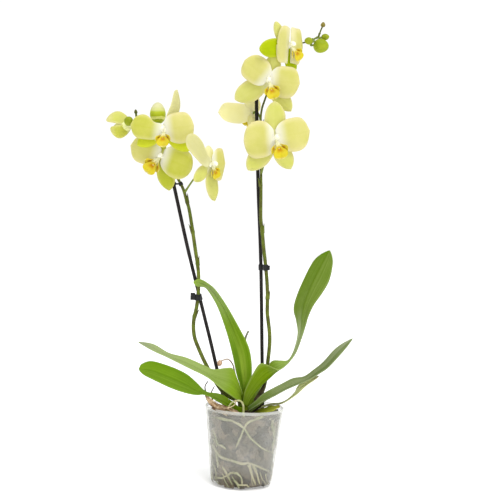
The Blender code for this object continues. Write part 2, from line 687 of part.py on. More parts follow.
def build_bloom(name, bloom, finishes):
    solids = []
    hub = [local(bloom, 0, -HUB_FRONT, 0), local(bloom, 0, HUB_FRONT, 0)]
    solids.append(tube(hub, 4.0, 6))
    for place in bloom["sepals"]:
        grid = tepal_grid(bloom, place, SEPAL_OUTLINE, SEPAL_ROWS, 3, -4.0, 1.0, 2.0)
        solids.append(blade(grid, PETAL_THICK))
    for place in bloom["petals"]:
        grid = tepal_grid(bloom, place, PETAL_OUTLINE, PETAL_ROWS, 5, 1.4, 2.5, 3.0)
        solids.append(blade(grid, PETAL_THICK))
    fused(f"{name}_petals", solids, finishes["petal"], "MANIFOLD")

    size = bloom.get("lip_size", 1.0)
    lip = []
    middle_rows = [(4.5, -5, 2.2), (10, -12, 4.0), (14.5, -21, 8.5), (13.5, -28, 6.5), (11.5, -32, 2.0)]
    grid = [[local(bloom, x * 1.6, HUB_FRONT + GAP + 0.5, -2.6) for x in (-1, 0, 1)]]
    for y, z, half in middle_rows:
        grid.append([local(bloom, x * half * size, y + 1.6 * abs(x), z * size) for x in (-1, 0, 1)])
    lip.append(blade(grid, 1.4))
    for side in (-1, 1):
        wing_rows = [(1.5, 5.0, -6.5, 1.8), (8.0, 11.0, -11, 6.5), (14, 14, -15, 4.0)]
        grid = []
        for x, y, z, half in wing_rows:
            line = [local(bloom, side * x * size, y + 0.35 * half * v, (z + half * v) * size) for v in (-1, 0, 1)]
            grid.append(line)
        lip.append(blade(grid, 1.2))
    fused(f"{name}_lip", lip, finishes["lip"], "MANIFOLD")

    column = [local(bloom, 0, y, z) for y, z in ((2.6, 1.2), (4.4, 1.8), (9, 3.4), (14.2, 0.8))]
    add_object(f"{name}_column", tube(column, [2.4, 3.0, 3.9, 2.3], 8), finishes["column"])


def stalk(route, place, target, end_radius=1.9):
    """A flower stalk from a place on its stem to the back of its flower."""
    start = smooth_path(route, 201)[round(200 * place)]
    mid = start.lerp(target[0], 0.5) + Vector((0, 0, 3))
    path = smooth_path([start, mid, target[0], target[1]], 6)
    return tube(path, [TWIG_RADIUS * 1.1, TWIG_RADIUS, TWIG_RADIUS, 1.5, end_radius, end_radius * 0.9], 5)


def bloom_back(bloom):
    """The last two points of a stalk that ends square at a bloom's back."""
    forward = looking(bloom)
    middle = Vector(bloom["middle"])
    return middle - forward * 9, middle - forward * (HUB_FRONT + GAP + 0.5)


# Buds: base, tip and width; the stalk reaches the base from a place on the stem.
BUDS = {
    "bud_left_large": {"base": (-151, -5, 541), "tip": (-152, -13, 573), "width": 24, "stem": "left", "place": 0.855},
    "bud_left_small": {"base": (-188, -20, 540), "tip": (-199, -27, 542), "width": 14.5, "stem": "left", "place": 0.93},
    "bud_right_near": {"base": (77, -12, 676), "tip": (66, -19, 675), "width": 11, "stem": "right", "place": 0.87},
    "bud_right_large": {"base": (82, 0, 672), "tip": (103, -3, 670), "width": 20, "stem": "right", "place": 0.91},
    "bud_right_far": {"base": (92, 3, 686), "tip": (104, 4, 688), "width": 10, "stem": "right", "place": 0.945},
}


def bud_back(bud):
    base, tip = Vector(bud["base"]), Vector(bud["tip"])
    along = (tip - base).normalized()
    return base - along * 4, base - along * (GAP + 0.1)


# The opening flower: its base, then each parting sepal by its tip, width, the way its face looks, and the way
# it bulges.
OPENING = {
    "base": (-191, -4, 536),
    "sepals": [
        ((-229, -9, 545), 21, (0, -1, 0.6), (0, -0.3, 1)),
        ((-222, -10, 527), 21, (0, -1, -0.6), (0, -0.4, -0.8)),
        ((-219, 6, 534), 18, (0, 1, 0), (0, 1, 0)),
    ],
}


def build_opening(finish):
    """A flower that has just begun to open: a closed heart between three parting sepals."""
    base = Vector(OPENING["base"])
    solids = [egg(base, base + Vector((-30, -1, 0)), 20, 8, 5)]
    root = base + Vector((-5, 0, 0))
    for tip, width, face, bulge in OPENING["sepals"]:
        along = (Vector(tip) - root).normalized()
        length = (Vector(tip) - root).length
        side = Vector(face).cross(along).normalized()
        out = along.cross(side)
        bulge = Vector(bulge).normalized()
        grid = []
        for share in (0, 0.2, 0.45, 0.7, 0.9, 1):
            half = width / 2 * blend_table(SEPAL_OUTLINE, share)
            line = []
            for v in (-1, 0, 1):
                line.append(root + along * length * share + side * half * v - out * 3 * v * v * min(1, share * 3)
                            + bulge * 12 * math.sin(math.pi * share) ** 0.8)
            grid.append(line)
        solids.append(blade(grid, 1.0))
    fused("flower_opening", solids, finish, "MANIFOLD")


def build_stems(finish):
    left = stem_parts(LEFT_STEM, LEFT_NODES, STEM_STEPS["left"])
    for name, place in (("bloom_left_1", 0.672), ("bloom_left_2", 0.765), ("bloom_left_3", 0.82)):
        left.append(stalk(LEFT_STEM, place, bloom_back(BLOOMS[name])))
    base = Vector(OPENING["base"])
    left.append(stalk(LEFT_STEM, 0.885, (base + Vector((5, 0, 0.5)), base + Vector((GAP, 0, 0))), 1.6))
    right = stem_parts(RIGHT_STEM, RIGHT_NODES, STEM_STEPS["right"])
    right_places = (("bloom_right_1", 0.495), ("bloom_right_2", 0.575), ("bloom_right_3", 0.68), ("bloom_right_4", 0.78))
    for name, place in right_places:
        right.append(stalk(RIGHT_STEM, place, bloom_back(BLOOMS[name])))
    for name, bud in BUDS.items():
        parts, route = (left, LEFT_STEM) if bud["stem"] == "left" else (right, RIGHT_STEM)
        parts.append(stalk(route, bud["place"], bud_back(bud), 1.4))
    left.append(egg(Vector(LEFT_STEM[-1]) - Vector((0, 0, 2)), Vector(LEFT_STEM[-1]) + Vector((-1, 0, 5)), 5, 6, 4))
    right.append(egg(Vector(RIGHT_STEM[-1]) - Vector((0, 0, 2)), Vector(RIGHT_STEM[-1]) + Vector((1, 0, 6)), 7, 6, 4))
    for name, parts in (("flower_stem_left", left), ("flower_stem_right", right)):
        stem = fused(name, parts, finish, "MANIFOLD")
        boolean(stem, [crown_solid(GAP)], "DIFFERENCE", "MANIFOLD")
        keep_outer_body(stem)


# ---------------------------------------------------------------- dried sheath

SHEATH_UPPER = [(-58, -39, 136), (-51, -39, 130), (-40, -38, 123), (-26, -35, 115), (-14, -25, 109), (-1, -5, 107)]
SHEATH_LOWER = [(-55, -36, 127), (-50, -36, 122), (-39, -36, 115), (-25, -34, 107), (-13, -25, 104.5),
                (-1, -6, 103.5)]


def build_sheath(finish):
    upper = smooth_path(SHEATH_UPPER, 11)
    lower = smooth_path(SHEATH_LOWER, 11)
    grid = []
    for k, (a, b) in enumerate(zip(upper, lower)):
        wave = Vector((0, 1.0 if k % 2 else -1.0, 0))
        grid.append([a, (a + b) / 2 + wave, b])
    sheath = add_object("dried_sheath", blade(grid, 0.9), finish)
    boolean(sheath, [crown_solid(GAP)], "DIFFERENCE", "MANIFOLD")
    keep_outer_body(sheath)


def main():
    clear_scene()
    green = material("leaf_green", (0.16, 0.36, 0.03), 0.4)
    old_green = material("leaf_old", (0.35, 0.42, 0.06), 0.5)
    stem_green = material("stem_green", (0.11, 0.16, 0.03), 0.5)
    root_white = material("root", (0.56, 0.60, 0.38), 0.7)
    bark_brown = material("bark", (0.14, 0.09, 0.05), 0.9)
    sheath_tan = material("dry_sheath", (0.42, 0.28, 0.15), 0.8)
    black = material("stick_black", (0.03, 0.028, 0.028), 0.5)
    clip_black = material("clip_black", (0.045, 0.045, 0.05), 0.45)
    clear_grey = material("pot_clear", (0.75, 0.78, 0.76), 0.35, 0.35)
    bud_green = material("bud_green", (0.36, 0.48, 0.05), 0.5)
    finishes = {
        "petal": material("petal_yellow", (0.82, 0.80, 0.32), 0.55),
        "lip": material("lip_yellow", (0.80, 0.55, 0.04), 0.5),
        "column": material("column_white", (0.93, 0.92, 0.80), 0.5),
    }

    build_pot(clear_grey)
    build_bark(bark_brown, [stick_hole(LEFT_STICK), stick_hole(RIGHT_STICK)])
    build_roots(root_white)
    add_object("crown", crown_solid(), green)
    build_leaves(green, old_green, [crown_solid(GAP)])
    build_sheath(sheath_tan)
    build_stick("stick_left", LEFT_STICK, black)
    build_stick("stick_right", RIGHT_STICK, black)
    build_stems(stem_green)
    build_clip("clip_left_middle", LEFT_STEM, STEM_STEPS["left"], LEFT_STICK, 281, 4.5, -8, clip_black)
    build_clip("clip_left_top", LEFT_STEM, STEM_STEPS["left"], LEFT_STICK, 452, 2.5, 0, clip_black)
    build_clip("clip_right", RIGHT_STEM, STEM_STEPS["right"], RIGHT_STICK, 330, 4.5, 3, clip_black)
    for name, bloom in BLOOMS.items():
        build_bloom(name, bloom, finishes)
    build_opening(bud_green)
    for name, bud in BUDS.items():
        add_object(name, egg(bud["base"], bud["tip"], bud["width"]), bud_green)
    for item in bpy.data.objects:
        item.data.shade_smooth()
        item.data.set_sharp_from_angle(angle=math.radians(SHARP_ANGLE))


main()
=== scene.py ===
import bpy
import math
import random
from mathutils import Matrix, Vector, noise


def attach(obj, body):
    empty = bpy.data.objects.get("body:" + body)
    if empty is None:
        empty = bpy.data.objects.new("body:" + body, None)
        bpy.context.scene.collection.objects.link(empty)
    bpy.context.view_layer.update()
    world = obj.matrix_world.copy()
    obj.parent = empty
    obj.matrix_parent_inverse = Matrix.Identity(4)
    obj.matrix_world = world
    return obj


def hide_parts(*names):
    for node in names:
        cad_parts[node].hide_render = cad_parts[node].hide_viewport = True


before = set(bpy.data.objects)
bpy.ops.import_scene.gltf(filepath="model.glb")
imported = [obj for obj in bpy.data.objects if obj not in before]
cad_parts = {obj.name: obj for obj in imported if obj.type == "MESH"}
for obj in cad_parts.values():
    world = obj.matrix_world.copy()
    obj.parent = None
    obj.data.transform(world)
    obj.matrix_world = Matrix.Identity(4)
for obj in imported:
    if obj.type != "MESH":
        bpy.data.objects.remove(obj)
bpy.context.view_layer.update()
mm = 0.001
finishes = {}


# small helpers

def deselectAll():
    if bpy.context.object and bpy.context.object.mode != "OBJECT":
        bpy.ops.object.mode_set(mode="OBJECT")
    bpy.ops.object.select_all(action="DESELECT")


def makeActive(piece):
    deselectAll()
    piece.select_set(True)
    bpy.context.view_layer.objects.active = piece
    return piece


def applyAll(piece):  # its modifiers in order, then its own place and size
    makeActive(piece)
    for name in [m.name for m in piece.modifiers]:
        bpy.ops.object.modifier_apply(modifier=name)
    bpy.ops.object.transform_apply(location=True, rotation=True, scale=True)
    bpy.ops.object.shade_smooth()
    return piece


def joinPieces(pieces, name):
    deselectAll()
    for piece in pieces:
        piece.select_set(True)
    bpy.context.view_layer.objects.active = pieces[0]
    if len(pieces) > 1:
        bpy.ops.object.join()
    joined = bpy.context.object
    joined.name = joined.data.name = name
    return joined


def coat(piece, finish):
    piece.data.materials.append(finishes[finish])


def roundEdges(piece, width, segments):
    edges = piece.modifiers.new("edges", "BEVEL")
    edges.width = width * mm
    edges.segments = segments
    edges.limit_method = "ANGLE"


def settle(piece, nodeNames):  # it rides with the plant and stands for these solids
    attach(piece, "root")
    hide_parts(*nodeNames)


def pathAt(knots, share):  # a point on the smooth line through the knots, share from 0 to 1
    spans = len(knots) - 1
    place = spans * min(max(share, 0.0), 1.0)
    span = min(int(place), spans - 1)
    t = place - span
    p1, p2 = Vector(knots[span]), Vector(knots[span + 1])
    p0 = Vector(knots[span - 1]) if span > 0 else p1 * 2 - p2
    p3 = Vector(knots[span + 2]) if span + 2 <= spans else p2 * 2 - p1
    return 0.5 * (2 * p1 + (p2 - p0) * t + (2 * p0 - 5 * p1 + 4 * p2 - p3) * t ** 2
                  + (3 * p1 - p0 - 3 * p2 + p3) * t ** 3)


def shareAt(knots, height):  # how far along a rising line it reaches this height
    return min((k / 900 for k in range(901)), key=lambda share: abs(pathAt(knots, share).z - height))


def smoothLine(knots, count):
    return [pathAt(knots, k / (count - 1)) for k in range(count)]


def readTable(table, t):  # a smooth value at t from (t, value) pairs
    last = len(table) - 1
    i = 0
    while i < last - 1 and t > table[i + 1][0]:
        i += 1
    (t0, v0), (t1, v1) = table[i], table[i + 1]

    def slope(k):
        a, b = table[max(k - 1, 0)], table[min(k + 1, last)]
        return (b[1] - a[1]) / (b[0] - a[0])

    h = t1 - t0
    x = min(max((t - t0) / h, 0.0), 1.0)
    return ((2 * x ** 3 - 3 * x ** 2 + 1) * v0 + (x ** 3 - 2 * x ** 2 + x) * h * slope(i)
            + (3 * x ** 2 - 2 * x ** 3) * v1 + (x ** 3 - x ** 2) * h * slope(i + 1))


def makeSheet(name, columns, rows, place, thick, finish, rounding=1):  # a thin blade from a grid
    deselectAll()
    bpy.ops.mesh.primitive_grid_add(x_subdivisions=columns, y_subdivisions=rows, size=1)
    sheet = bpy.context.object
    sheet.name = name
    for corner in sheet.data.vertices:
        corner.co = place(corner.co.x + 0.5, corner.co.y + 0.5) * mm
    body = sheet.modifiers.new("body", "SOLIDIFY")
    body.thickness = thick * mm
    body.offset = 0
    soft = sheet.modifiers.new("soft", "SUBSURF")
    soft.levels = soft.render_levels = rounding
    coat(sheet, finish)
    return applyAll(sheet)


def makeTube(name, line, radii, finish, rounding=3):  # a round stalk along a line
    curve = bpy.data.curves.new(name, "CURVE")
    curve.dimensions = "3D"
    curve.fill_mode = "FULL"
    curve.bevel_depth = mm
    curve.bevel_resolution = rounding
    curve.use_fill_caps = True
    spline = curve.splines.new("POLY")
    spline.points.add(len(line) - 1)
    for point, place, radius in zip(spline.points, line, radii):
        point.co = (*(Vector(place) * mm), 1)
        point.radius = radius
    tube = bpy.data.objects.new(name, curve)
    bpy.context.scene.collection.objects.link(tube)
    makeActive(tube)
    bpy.ops.object.convert(target="MESH")
    tube = bpy.context.object
    coat(tube, finish)
    bpy.ops.object.shade_smooth()
    return tube


def makeBall(radius, place, squash, finish, segments=20):  # a squashed ball
    deselectAll()
    bpy.ops.mesh.primitive_uv_sphere_add(segments=segments, ring_count=12, radius=radius * mm)
    ball = bpy.context.object
    ball.scale = squash
    ball.location = place * mm
    coat(ball, finish)
    return applyAll(ball)


def makeTurned(name, profile, steps, finish):  # (radius, height) points spun round the upright axis
    deselectAll()
    bpy.ops.mesh.primitive_circle_add(vertices=len(profile), radius=1)
    turned = bpy.context.object
    turned.name = name
    for corner, (radius, height) in zip(turned.data.vertices, profile):
        corner.co = Vector((radius, 0, height)) * mm
    bpy.ops.object.mode_set(mode="EDIT")
    bpy.ops.mesh.select_all(action="SELECT")
    bpy.ops.mesh.spin(steps=steps, angle=2 * math.pi, center=(0, 0, 0), axis=(0, 0, 1))
    bpy.ops.mesh.select_all(action="SELECT")
    bpy.ops.mesh.remove_doubles(threshold=0.00001)
    bpy.ops.mesh.normals_make_consistent(inside=False)
    bpy.ops.object.mode_set(mode="OBJECT")
    coat(turned, finish)
    return turned


# shared effects for the materials

def newGroup(name, ins, outs):  # an input without a value is a colour
    group = bpy.data.node_groups.new(name, "ShaderNodeTree")
    for label, value in ins.items():
        kind = "NodeSocketColor" if value is None else "NodeSocketFloat"
        socket = group.interface.new_socket(label, in_out="INPUT", socket_type=kind)
        if value is not None:
            socket.default_value = value
    for label in outs:
        kind = "NodeSocketColor" if label == "Colour" else "NodeSocketFloat"
        group.interface.new_socket(label, in_out="OUTPUT", socket_type=kind)
    return group, group.nodes.new("NodeGroupInput").outputs, group.nodes.new("NodeGroupOutput").inputs


def feed(tree, target, source):  # a socket or a plain value into a socket
    if isinstance(source, bpy.types.NodeSocket):
        tree.links.new(source, target)
    elif source is not None:
        target.default_value = source


def mathNode(tree, operation, a, b=None, clamp=False):
    node = tree.nodes.new("ShaderNodeMath")
    node.operation = operation
    node.use_clamp = clamp
    feed(tree, node.inputs[0], a)
    feed(tree, node.inputs[1], b)
    return node.outputs[0]


def times(tree, *values):  # the product of two or more
    product = values[0]
    for value in values[1:]:
        product = mathNode(tree, "MULTIPLY", product, value)
    return product


def plus(tree, a, b, clamp=False):
    return mathNode(tree, "ADD", a, b, clamp)


def minus(tree, a, b):
    return mathNode(tree, "SUBTRACT", a, b)


def inverse(tree, mask):
    return minus(tree, 1.0, mask)


def solid(colour):
    return (*colour, 1.0)


def mixColours(tree, factor, a, b):
    node = tree.nodes.new("ShaderNodeMix")
    node.data_type = "RGBA"
    feed(tree, node.inputs[0], factor)
    feed(tree, node.inputs[6], a)
    feed(tree, node.inputs[7], b)
    return node.outputs[2]


def tinted(tree, colour, tint, *masks):  # a tint over a colour, as strong as the masks' product
    return mixColours(tree, times(tree, *masks), colour, solid(tint))


def rampValue(tree, value, low, high, shape="SMOOTHSTEP"):  # 0 below low and 1 above high
    node = tree.nodes.new("ShaderNodeMapRange")
    node.interpolation_type = shape
    feed(tree, node.inputs["Value"], value)
    feed(tree, node.inputs["From Min"], low)
    feed(tree, node.inputs["From Max"], high)
    return node.outputs["Result"]


def rampColours(tree, value, stops):
    node = tree.nodes.new("ShaderNodeValToRGB")
    node.color_ramp.interpolation = "EASE"
    while len(node.color_ramp.elements) < len(stops):
        node.color_ramp.elements.new(0.5)
    for element, (place, colour) in zip(node.color_ramp.elements, stops):
        element.position = place
        element.color = solid(colour)
    feed(tree, node.inputs[0], value)
    return node.outputs[0]


def noiseNode(tree, vector, scale, detail, rough=0.5):
    node = tree.nodes.new("ShaderNodeTexNoise")
    feed(tree, node.inputs["Vector"], vector)
    feed(tree, node.inputs["Scale"], scale)
    node.inputs["Detail"].default_value = detail
    node.inputs["Roughness"].default_value = rough
    return node.outputs[0]


def objectPlace(tree):
    return tree.nodes.new("ShaderNodeTexCoord").outputs["Object"]


def ownPlace(tree):
    return tree.nodes.new("ShaderNodeUVMap").outputs["UV"]


def splitPlace(tree, place):
    split = tree.nodes.new("ShaderNodeSeparateXYZ")
    feed(tree, split.inputs[0], place)
    return split.outputs


def makeMottleGroup():  # two colours in soft patches of a size
    ins = {"Colour A": None, "Colour B": None, "Scale": 60.0, "Contrast": 0.5}
    group, given, result = newGroup("mottle", ins, ("Colour", "Mask"))
    patches = noiseNode(group, objectPlace(group), given["Scale"], 5.0, 0.6)
    harder = plus(group, times(group, given["Contrast"], 5.0), 1.0)
    mask = plus(group, times(group, minus(group, patches, 0.5), harder), 0.5, clamp=True)
    feed(group, result["Colour"], mixColours(group, mask, given["Colour A"], given["Colour B"]))
    feed(group, result["Mask"], mask)
    return group


def makeVeinGroup():  # lines that run along a blade, fanned out by Spread, and the line of its rib
    ins = {"Count": 14.0, "Spread": 0.0, "Rib Width": 0.05}
    outs = ("Veins", "Rib", "Across", "Along", "Streaks", "Side")
    group, given, result = newGroup("veins", ins, outs)
    own = ownPlace(group)
    side, along, _ = splitPlace(group, own)
    across = times(group, mathNode(group, "ABSOLUTE", minus(group, side, 0.5)), 2.0)
    fan = plus(group, 1.0, times(group, given["Spread"], inverse(group, along)))
    wobble = times(group, noiseNode(group, own, 5.0, 2.0), 0.25)
    turns = times(group, plus(group, times(group, across, fan), wobble), given["Count"])
    wave = mathNode(group, "SINE", times(group, turns, 2 * math.pi))
    stretched = group.nodes.new("ShaderNodeCombineXYZ")
    feed(group, stretched.inputs[0], times(group, side, 17.0))
    feed(group, stretched.inputs[1], times(group, along, 1.1))
    streaks = noiseNode(group, stretched.outputs[0], 1.0, 4.0, 0.6)
    feed(group, result["Veins"], rampValue(group, wave, 0.2, 1.0))
    feed(group, result["Rib"], inverse(group, rampValue(group, across, 0.0, given["Rib Width"])))
    feed(group, result["Across"], across)
    feed(group, result["Along"], along)
    feed(group, result["Streaks"], rampValue(group, streaks, 0.36, 0.66))
    # Side picks one half of a blade, where the leaves get painted light or shade
    feed(group, result["Side"], rampValue(group, side, 0.44, 0.56))
    return group


def makeGrainGroup():  # fine relief for a Bump node
    group, given, result = newGroup("grain", {"Scale": 300.0, "Depth": 1.0}, ("Height",))
    place = objectPlace(group)
    coarse = noiseNode(group, place, given["Scale"], 4.0, 0.55)
    fine = noiseNode(group, place, times(group, given["Scale"], 4.3), 2.0)
    both = plus(group, coarse, times(group, fine, 0.35))
    feed(group, result["Height"], times(group, both, given["Depth"]))
    return group


mottle = makeMottleGroup()
veins = makeVeinGroup()
grain = makeGrainGroup()
print("effects ready")


def useGroup(tree, group, **values):
    node = tree.nodes.new("ShaderNodeGroup")
    node.node_tree = group
    for label, value in values.items():
        feed(tree, node.inputs[label.replace("_", " ")], value)
    return node.outputs


def patchesOf(tree, a, b, scale, contrast):
    return useGroup(tree, mottle, Colour_A=solid(a), Colour_B=solid(b), Scale=scale, Contrast=contrast)


def startMaterial(name, rough, **plain):
    made = bpy.data.materials.new(name)
    made.use_nodes = True
    shader = made.node_tree.nodes["Principled BSDF"]
    shader.inputs["Roughness"].default_value = rough
    for label, value in plain.items():
        shader.inputs[label.replace("_", " ")].default_value = value
    finishes[name] = made
    return made.node_tree, shader


def addRelief(tree, shader, scale, depth, strength, distance, ridges=None):
    height = useGroup(tree, grain, Scale=scale, Depth=depth)["Height"]
    if ridges is not None:
        height = plus(tree, height, ridges)
    bump = tree.nodes.new("ShaderNodeBump")
    bump.inputs["Strength"].default_value = strength
    bump.inputs["Distance"].default_value = distance * mm
    feed(tree, bump.inputs["Height"], height)
    feed(tree, shader.inputs["Normal"], bump.outputs["Normal"])


def letLightThrough(tree, shader, colour, share):  # light from behind glows through a thin blade
    glow = tree.nodes.new("ShaderNodeBsdfTranslucent")
    feed(tree, glow.inputs["Color"], colour)
    mix = tree.nodes.new("ShaderNodeMixShader")
    mix.inputs[0].default_value = share
    feed(tree, mix.inputs[1], shader.outputs[0])
    feed(tree, mix.inputs[2], glow.outputs[0])
    feed(tree, tree.nodes["Material Output"].inputs["Surface"], mix.outputs[0])


def facingRim(tree, blend):  # it rises where the surface turns away
    rim = tree.nodes.new("ShaderNodeLayerWeight")
    rim.inputs["Blend"].default_value = blend
    return rim.outputs["Facing"]


# leaves: colours from base to tip, their greyish pale stretches partly painted sheen, deep and pale
# streaks,
# "side" (tint, amount, start, where it is full) painting one half lighter or darker, as painted light or
# shade, and "band" (tint, amount, width, reach) for a paler stripe up the middle from the foot

leafFinishes = {
    "leafUpperLeft": {
        "stops": [(0.0, (0.18, 0.28, 0.003)), (0.2, (0.225, 0.37, 0.010)), (0.38, (0.26, 0.36, 0.075)),
                  (0.6, (0.32, 0.42, 0.13)), (0.85, (0.35, 0.42, 0.19)), (1.0, (0.30, 0.33, 0.22))],
        "deep": (0.17, 0.27, 0.02), "pale": (0.35, 0.47, 0.12), "streak": 0.3},
    "leafLowerLeft": {
        "stops": [(0.0, (0.11, 0.15, 0.001)), (0.2, (0.12, 0.19, 0.002)), (0.35, (0.13, 0.19, 0.03)),
                  (0.52, (0.14, 0.25, 0.015)), (0.8, (0.15, 0.28, 0.008)), (1.0, (0.19, 0.33, 0.012))],
        "deep": (0.095, 0.20, 0.001), "pale": (0.20, 0.34, 0.02), "streak": 0.55,
        "side": ((0.17, 0.28, 0.03), 0.5, 0.3, 0.5)},
    "leafUpright": {
        "stops": [(0.0, (0.10, 0.18, 0.001)), (0.3, (0.088, 0.19, 0.001)), (0.45, (0.19, 0.32, 0.015)),
                  (0.57, (0.31, 0.43, 0.11)), (0.68, (0.32, 0.40, 0.16)), (0.8, (0.30, 0.40, 0.11)),
                  (0.9, (0.29, 0.40, 0.08)), (1.0, (0.34, 0.50, 0.06))],
        "deep": (0.095, 0.20, 0.001), "pale": (0.27, 0.40, 0.07), "streak": 0.5,
        "side": ((0.23, 0.39, 0.010), 0.8, 0.6, 0.35), "band": ((0.27, 0.40, 0.035), 1.0, 0.55, 0.48)},
    "leafTallRight": {
        "stops": [(0.0, (0.16, 0.26, 0.001)), (0.22, (0.20, 0.33, 0.002)), (0.36, (0.35, 0.50, 0.10)),
                  (0.55, (0.42, 0.48, 0.28)), (0.72, (0.14, 0.22, 0.03)), (0.93, (0.13, 0.235, 0.012)),
                  (1.0, (0.115, 0.25, 0.002))],
        "deep": (0.095, 0.17, 0.002), "pale": (0.28, 0.36, 0.10), "streak": 0.5,
        "side": ((0.20, 0.29, 0.05), 0.65, 0.5, 0.65)},
    "leafLongRight": {
        "stops": [(0.0, (0.09, 0.19, 0.001)), (0.2, (0.12, 0.19, 0.012)), (0.42, (0.28, 0.34, 0.14)),
                  (0.62, (0.19, 0.235, 0.09)), (0.85, (0.20, 0.25, 0.11)), (1.0, (0.36, 0.40, 0.26))],
        "deep": (0.13, 0.19, 0.05), "pale": (0.38, 0.43, 0.24), "streak": 0.55,
        "side": ((0.10, 0.16, 0.010), 0.7, 0.2, 0.45)},
    "leafOld": {
        "stops": [(0.0, (0.20, 0.20, 0.06)), (0.35, (0.55, 0.56, 0.32)), (0.55, (0.70, 0.74, 0.36)),
                  (0.85, (0.72, 0.74, 0.34)), (0.95, (0.42, 0.38, 0.18)), (1.0, (0.16, 0.11, 0.06))],
        "deep": (0.40, 0.44, 0.18), "pale": (0.78, 0.80, 0.46), "streak": 0.4},
    "leafStub": {
        "stops": [(0.0, (0.12, 0.15, 0.003)), (0.5, (0.27, 0.33, 0.010)), (0.85, (0.46, 0.48, 0.03)),
                  (1.0, (0.36, 0.24, 0.08))],
        "deep": (0.16, 0.14, 0.008), "pale": (0.52, 0.54, 0.09), "streak": 0.5},
    "crownGreen": {
        "stops": [(0.0, (0.05, 0.075, 0.001)), (0.5, (0.075, 0.13, 0.001)), (1.0, (0.11, 0.19, 0.002))],
        "deep": (0.045, 0.07, 0.001), "pale": (0.16, 0.22, 0.01), "streak": 0.5},
}


def leafMaterial(name, stops, deep, pale, streak, side=None, band=None):
    tree, shader = startMaterial(name, 0.42, Specular_IOR_Level=0.03)
    lines = useGroup(tree, veins, Count=9.0, Rib_Width=0.10)
    along, across, streaks = lines["Along"], lines["Across"], lines["Streaks"]
    # the greyish pale stops are partly painted sheen, standing in for gloss that the low specular leaves
    # out
    colour = rampColours(tree, along, stops)
    # painted light and shade: one half of the blade is made lighter or darker than the other, as light
    # falls across its fold
    if side:
        tint, amount, start, full = side
        colour = tinted(tree, colour, tint, lines["Side"], rampValue(tree, along, start, full), amount)
    colour = tinted(tree, colour, deep, inverse(tree, streaks), streak)
    patches = useGroup(tree, mottle, Scale=26.0, Contrast=0.5)["Mask"]
    colour = tinted(tree, colour, pale, streaks, patches, streak * 0.7)
    colour = tinted(tree, colour, pale, lines["Veins"], 0.10)
    colour = tinted(tree, colour, deep, lines["Rib"], 0.55)
    colour = tinted(tree, colour, pale, rampValue(tree, across, 0.86, 1.0), 0.5)
    if band:
        tint, amount, wide, reach = band
        low = inverse(tree, rampValue(tree, along, reach * 0.5, reach))
        middle = inverse(tree, rampValue(tree, across, wide * 0.5, wide))
        colour = tinted(tree, colour, tint, low, amount, middle)
    feed(tree, shader.inputs["Base Color"], colour)
    addRelief(tree, shader, 420.0, 0.35, 0.3, 0.2, times(tree, lines["Veins"], 0.5))
    letLightThrough(tree, shader, colour, 0.12)


for name, look in leafFinishes.items():
    leafMaterial(name, **look)


# petals and sepals: the body, a darker blush in patches and veins, the edge, and the bloom's pale heart

petalFinishes = {
    "petalPale": {"body": (0.76, 0.72, 0.27), "blush": (0.69, 0.67, 0.18), "edge": (0.84, 0.77, 0.42)},
    "petalEven": {"body": (0.76, 0.72, 0.28), "blush": (0.70, 0.68, 0.20), "edge": (0.84, 0.77, 0.42),
                  "heart": (0.84, 0.81, 0.52), "spread": 0.35},
    "petalGreen": {"body": (0.69, 0.68, 0.14), "blush": (0.60, 0.62, 0.07), "edge": (0.80, 0.76, 0.32)},
    # partly the petals' own cream, partly painted light: a paler body lifts petals that lie in the shade of
    # the blooms above
    "petalCreamPaintedLight": {"body": (0.93, 0.91, 0.60), "blush": (0.90, 0.87, 0.52), "edge": (0.94, 0.90, 0.64),
                   "heart": (0.94, 0.92, 0.70), "through": 0.5},
    "sepalPale": {"body": (0.74, 0.73, 0.25), "blush": (0.68, 0.69, 0.16), "edge": (0.82, 0.76, 0.40),
                  "heart": (0.82, 0.81, 0.50), "spread": 0.2},
    "sepalCream": {"body": (0.74, 0.71, 0.36), "blush": (0.70, 0.68, 0.30), "edge": (0.84, 0.80, 0.44),
                   "heart": (0.84, 0.82, 0.50), "spread": 0.2},
    "sepalGreen": {"body": (0.64, 0.66, 0.09), "blush": (0.56, 0.61, 0.04), "edge": (0.76, 0.72, 0.24),
                   "heart": (0.74, 0.74, 0.30), "spread": 0.2, "through": 0.4},
    # a lighter copy of the lime sepal: painted light that lifts lower sepals lying in shade
    "sepalLimePaintedLight": {"body": (0.76, 0.80, 0.06), "blush": (0.72, 0.77, 0.03), "edge": (0.76, 0.78, 0.10),
                    "heart": (0.72, 0.76, 0.12), "spread": 0.2, "through": 0.45},
    "sepalLime": {"body": (0.56, 0.65, 0.001), "blush": (0.50, 0.61, 0.001), "edge": (0.66, 0.70, 0.05),
                  "heart": (0.60, 0.68, 0.01), "spread": 0.2, "through": 0.4},
}


def petalMaterial(name, body, blush, edge, heart=(0.93, 0.92, 0.82), spread=0.25, through=0.3):
    tree, shader = startMaterial(name, 0.55, Specular_IOR_Level=0.15)
    lines = useGroup(tree, veins, Count=7.0, Spread=0.7, Rib_Width=0.12)
    along = lines["Along"]
    colour = patchesOf(tree, body, blush, 38.0, 0.3)["Colour"]
    rim = rampValue(tree, mathNode(tree, "MAXIMUM", lines["Across"], along), 0.62, 1.0)
    colour = tinted(tree, colour, edge, rim, 0.75)
    colour = tinted(tree, colour, blush, lines["Veins"], 0.14)
    colour = tinted(tree, colour, blush, lines["Rib"], 0.3)
    colour = tinted(tree, colour, heart, inverse(tree, rampValue(tree, along, 0.02, spread)), 0.95)
    feed(tree, shader.inputs["Base Color"], colour)
    addRelief(tree, shader, 600.0, 0.3, 0.3, 0.2, times(tree, lines["Veins"], 0.8))
    letLightThrough(tree, shader, colour, through)


for name, look in petalFinishes.items():
    petalMaterial(name, **look)


# plain finishes: two colours in patches, "spot" a third in smaller ones, "patch" their scale and contrast,
# "grain" the scale and strength of the relief

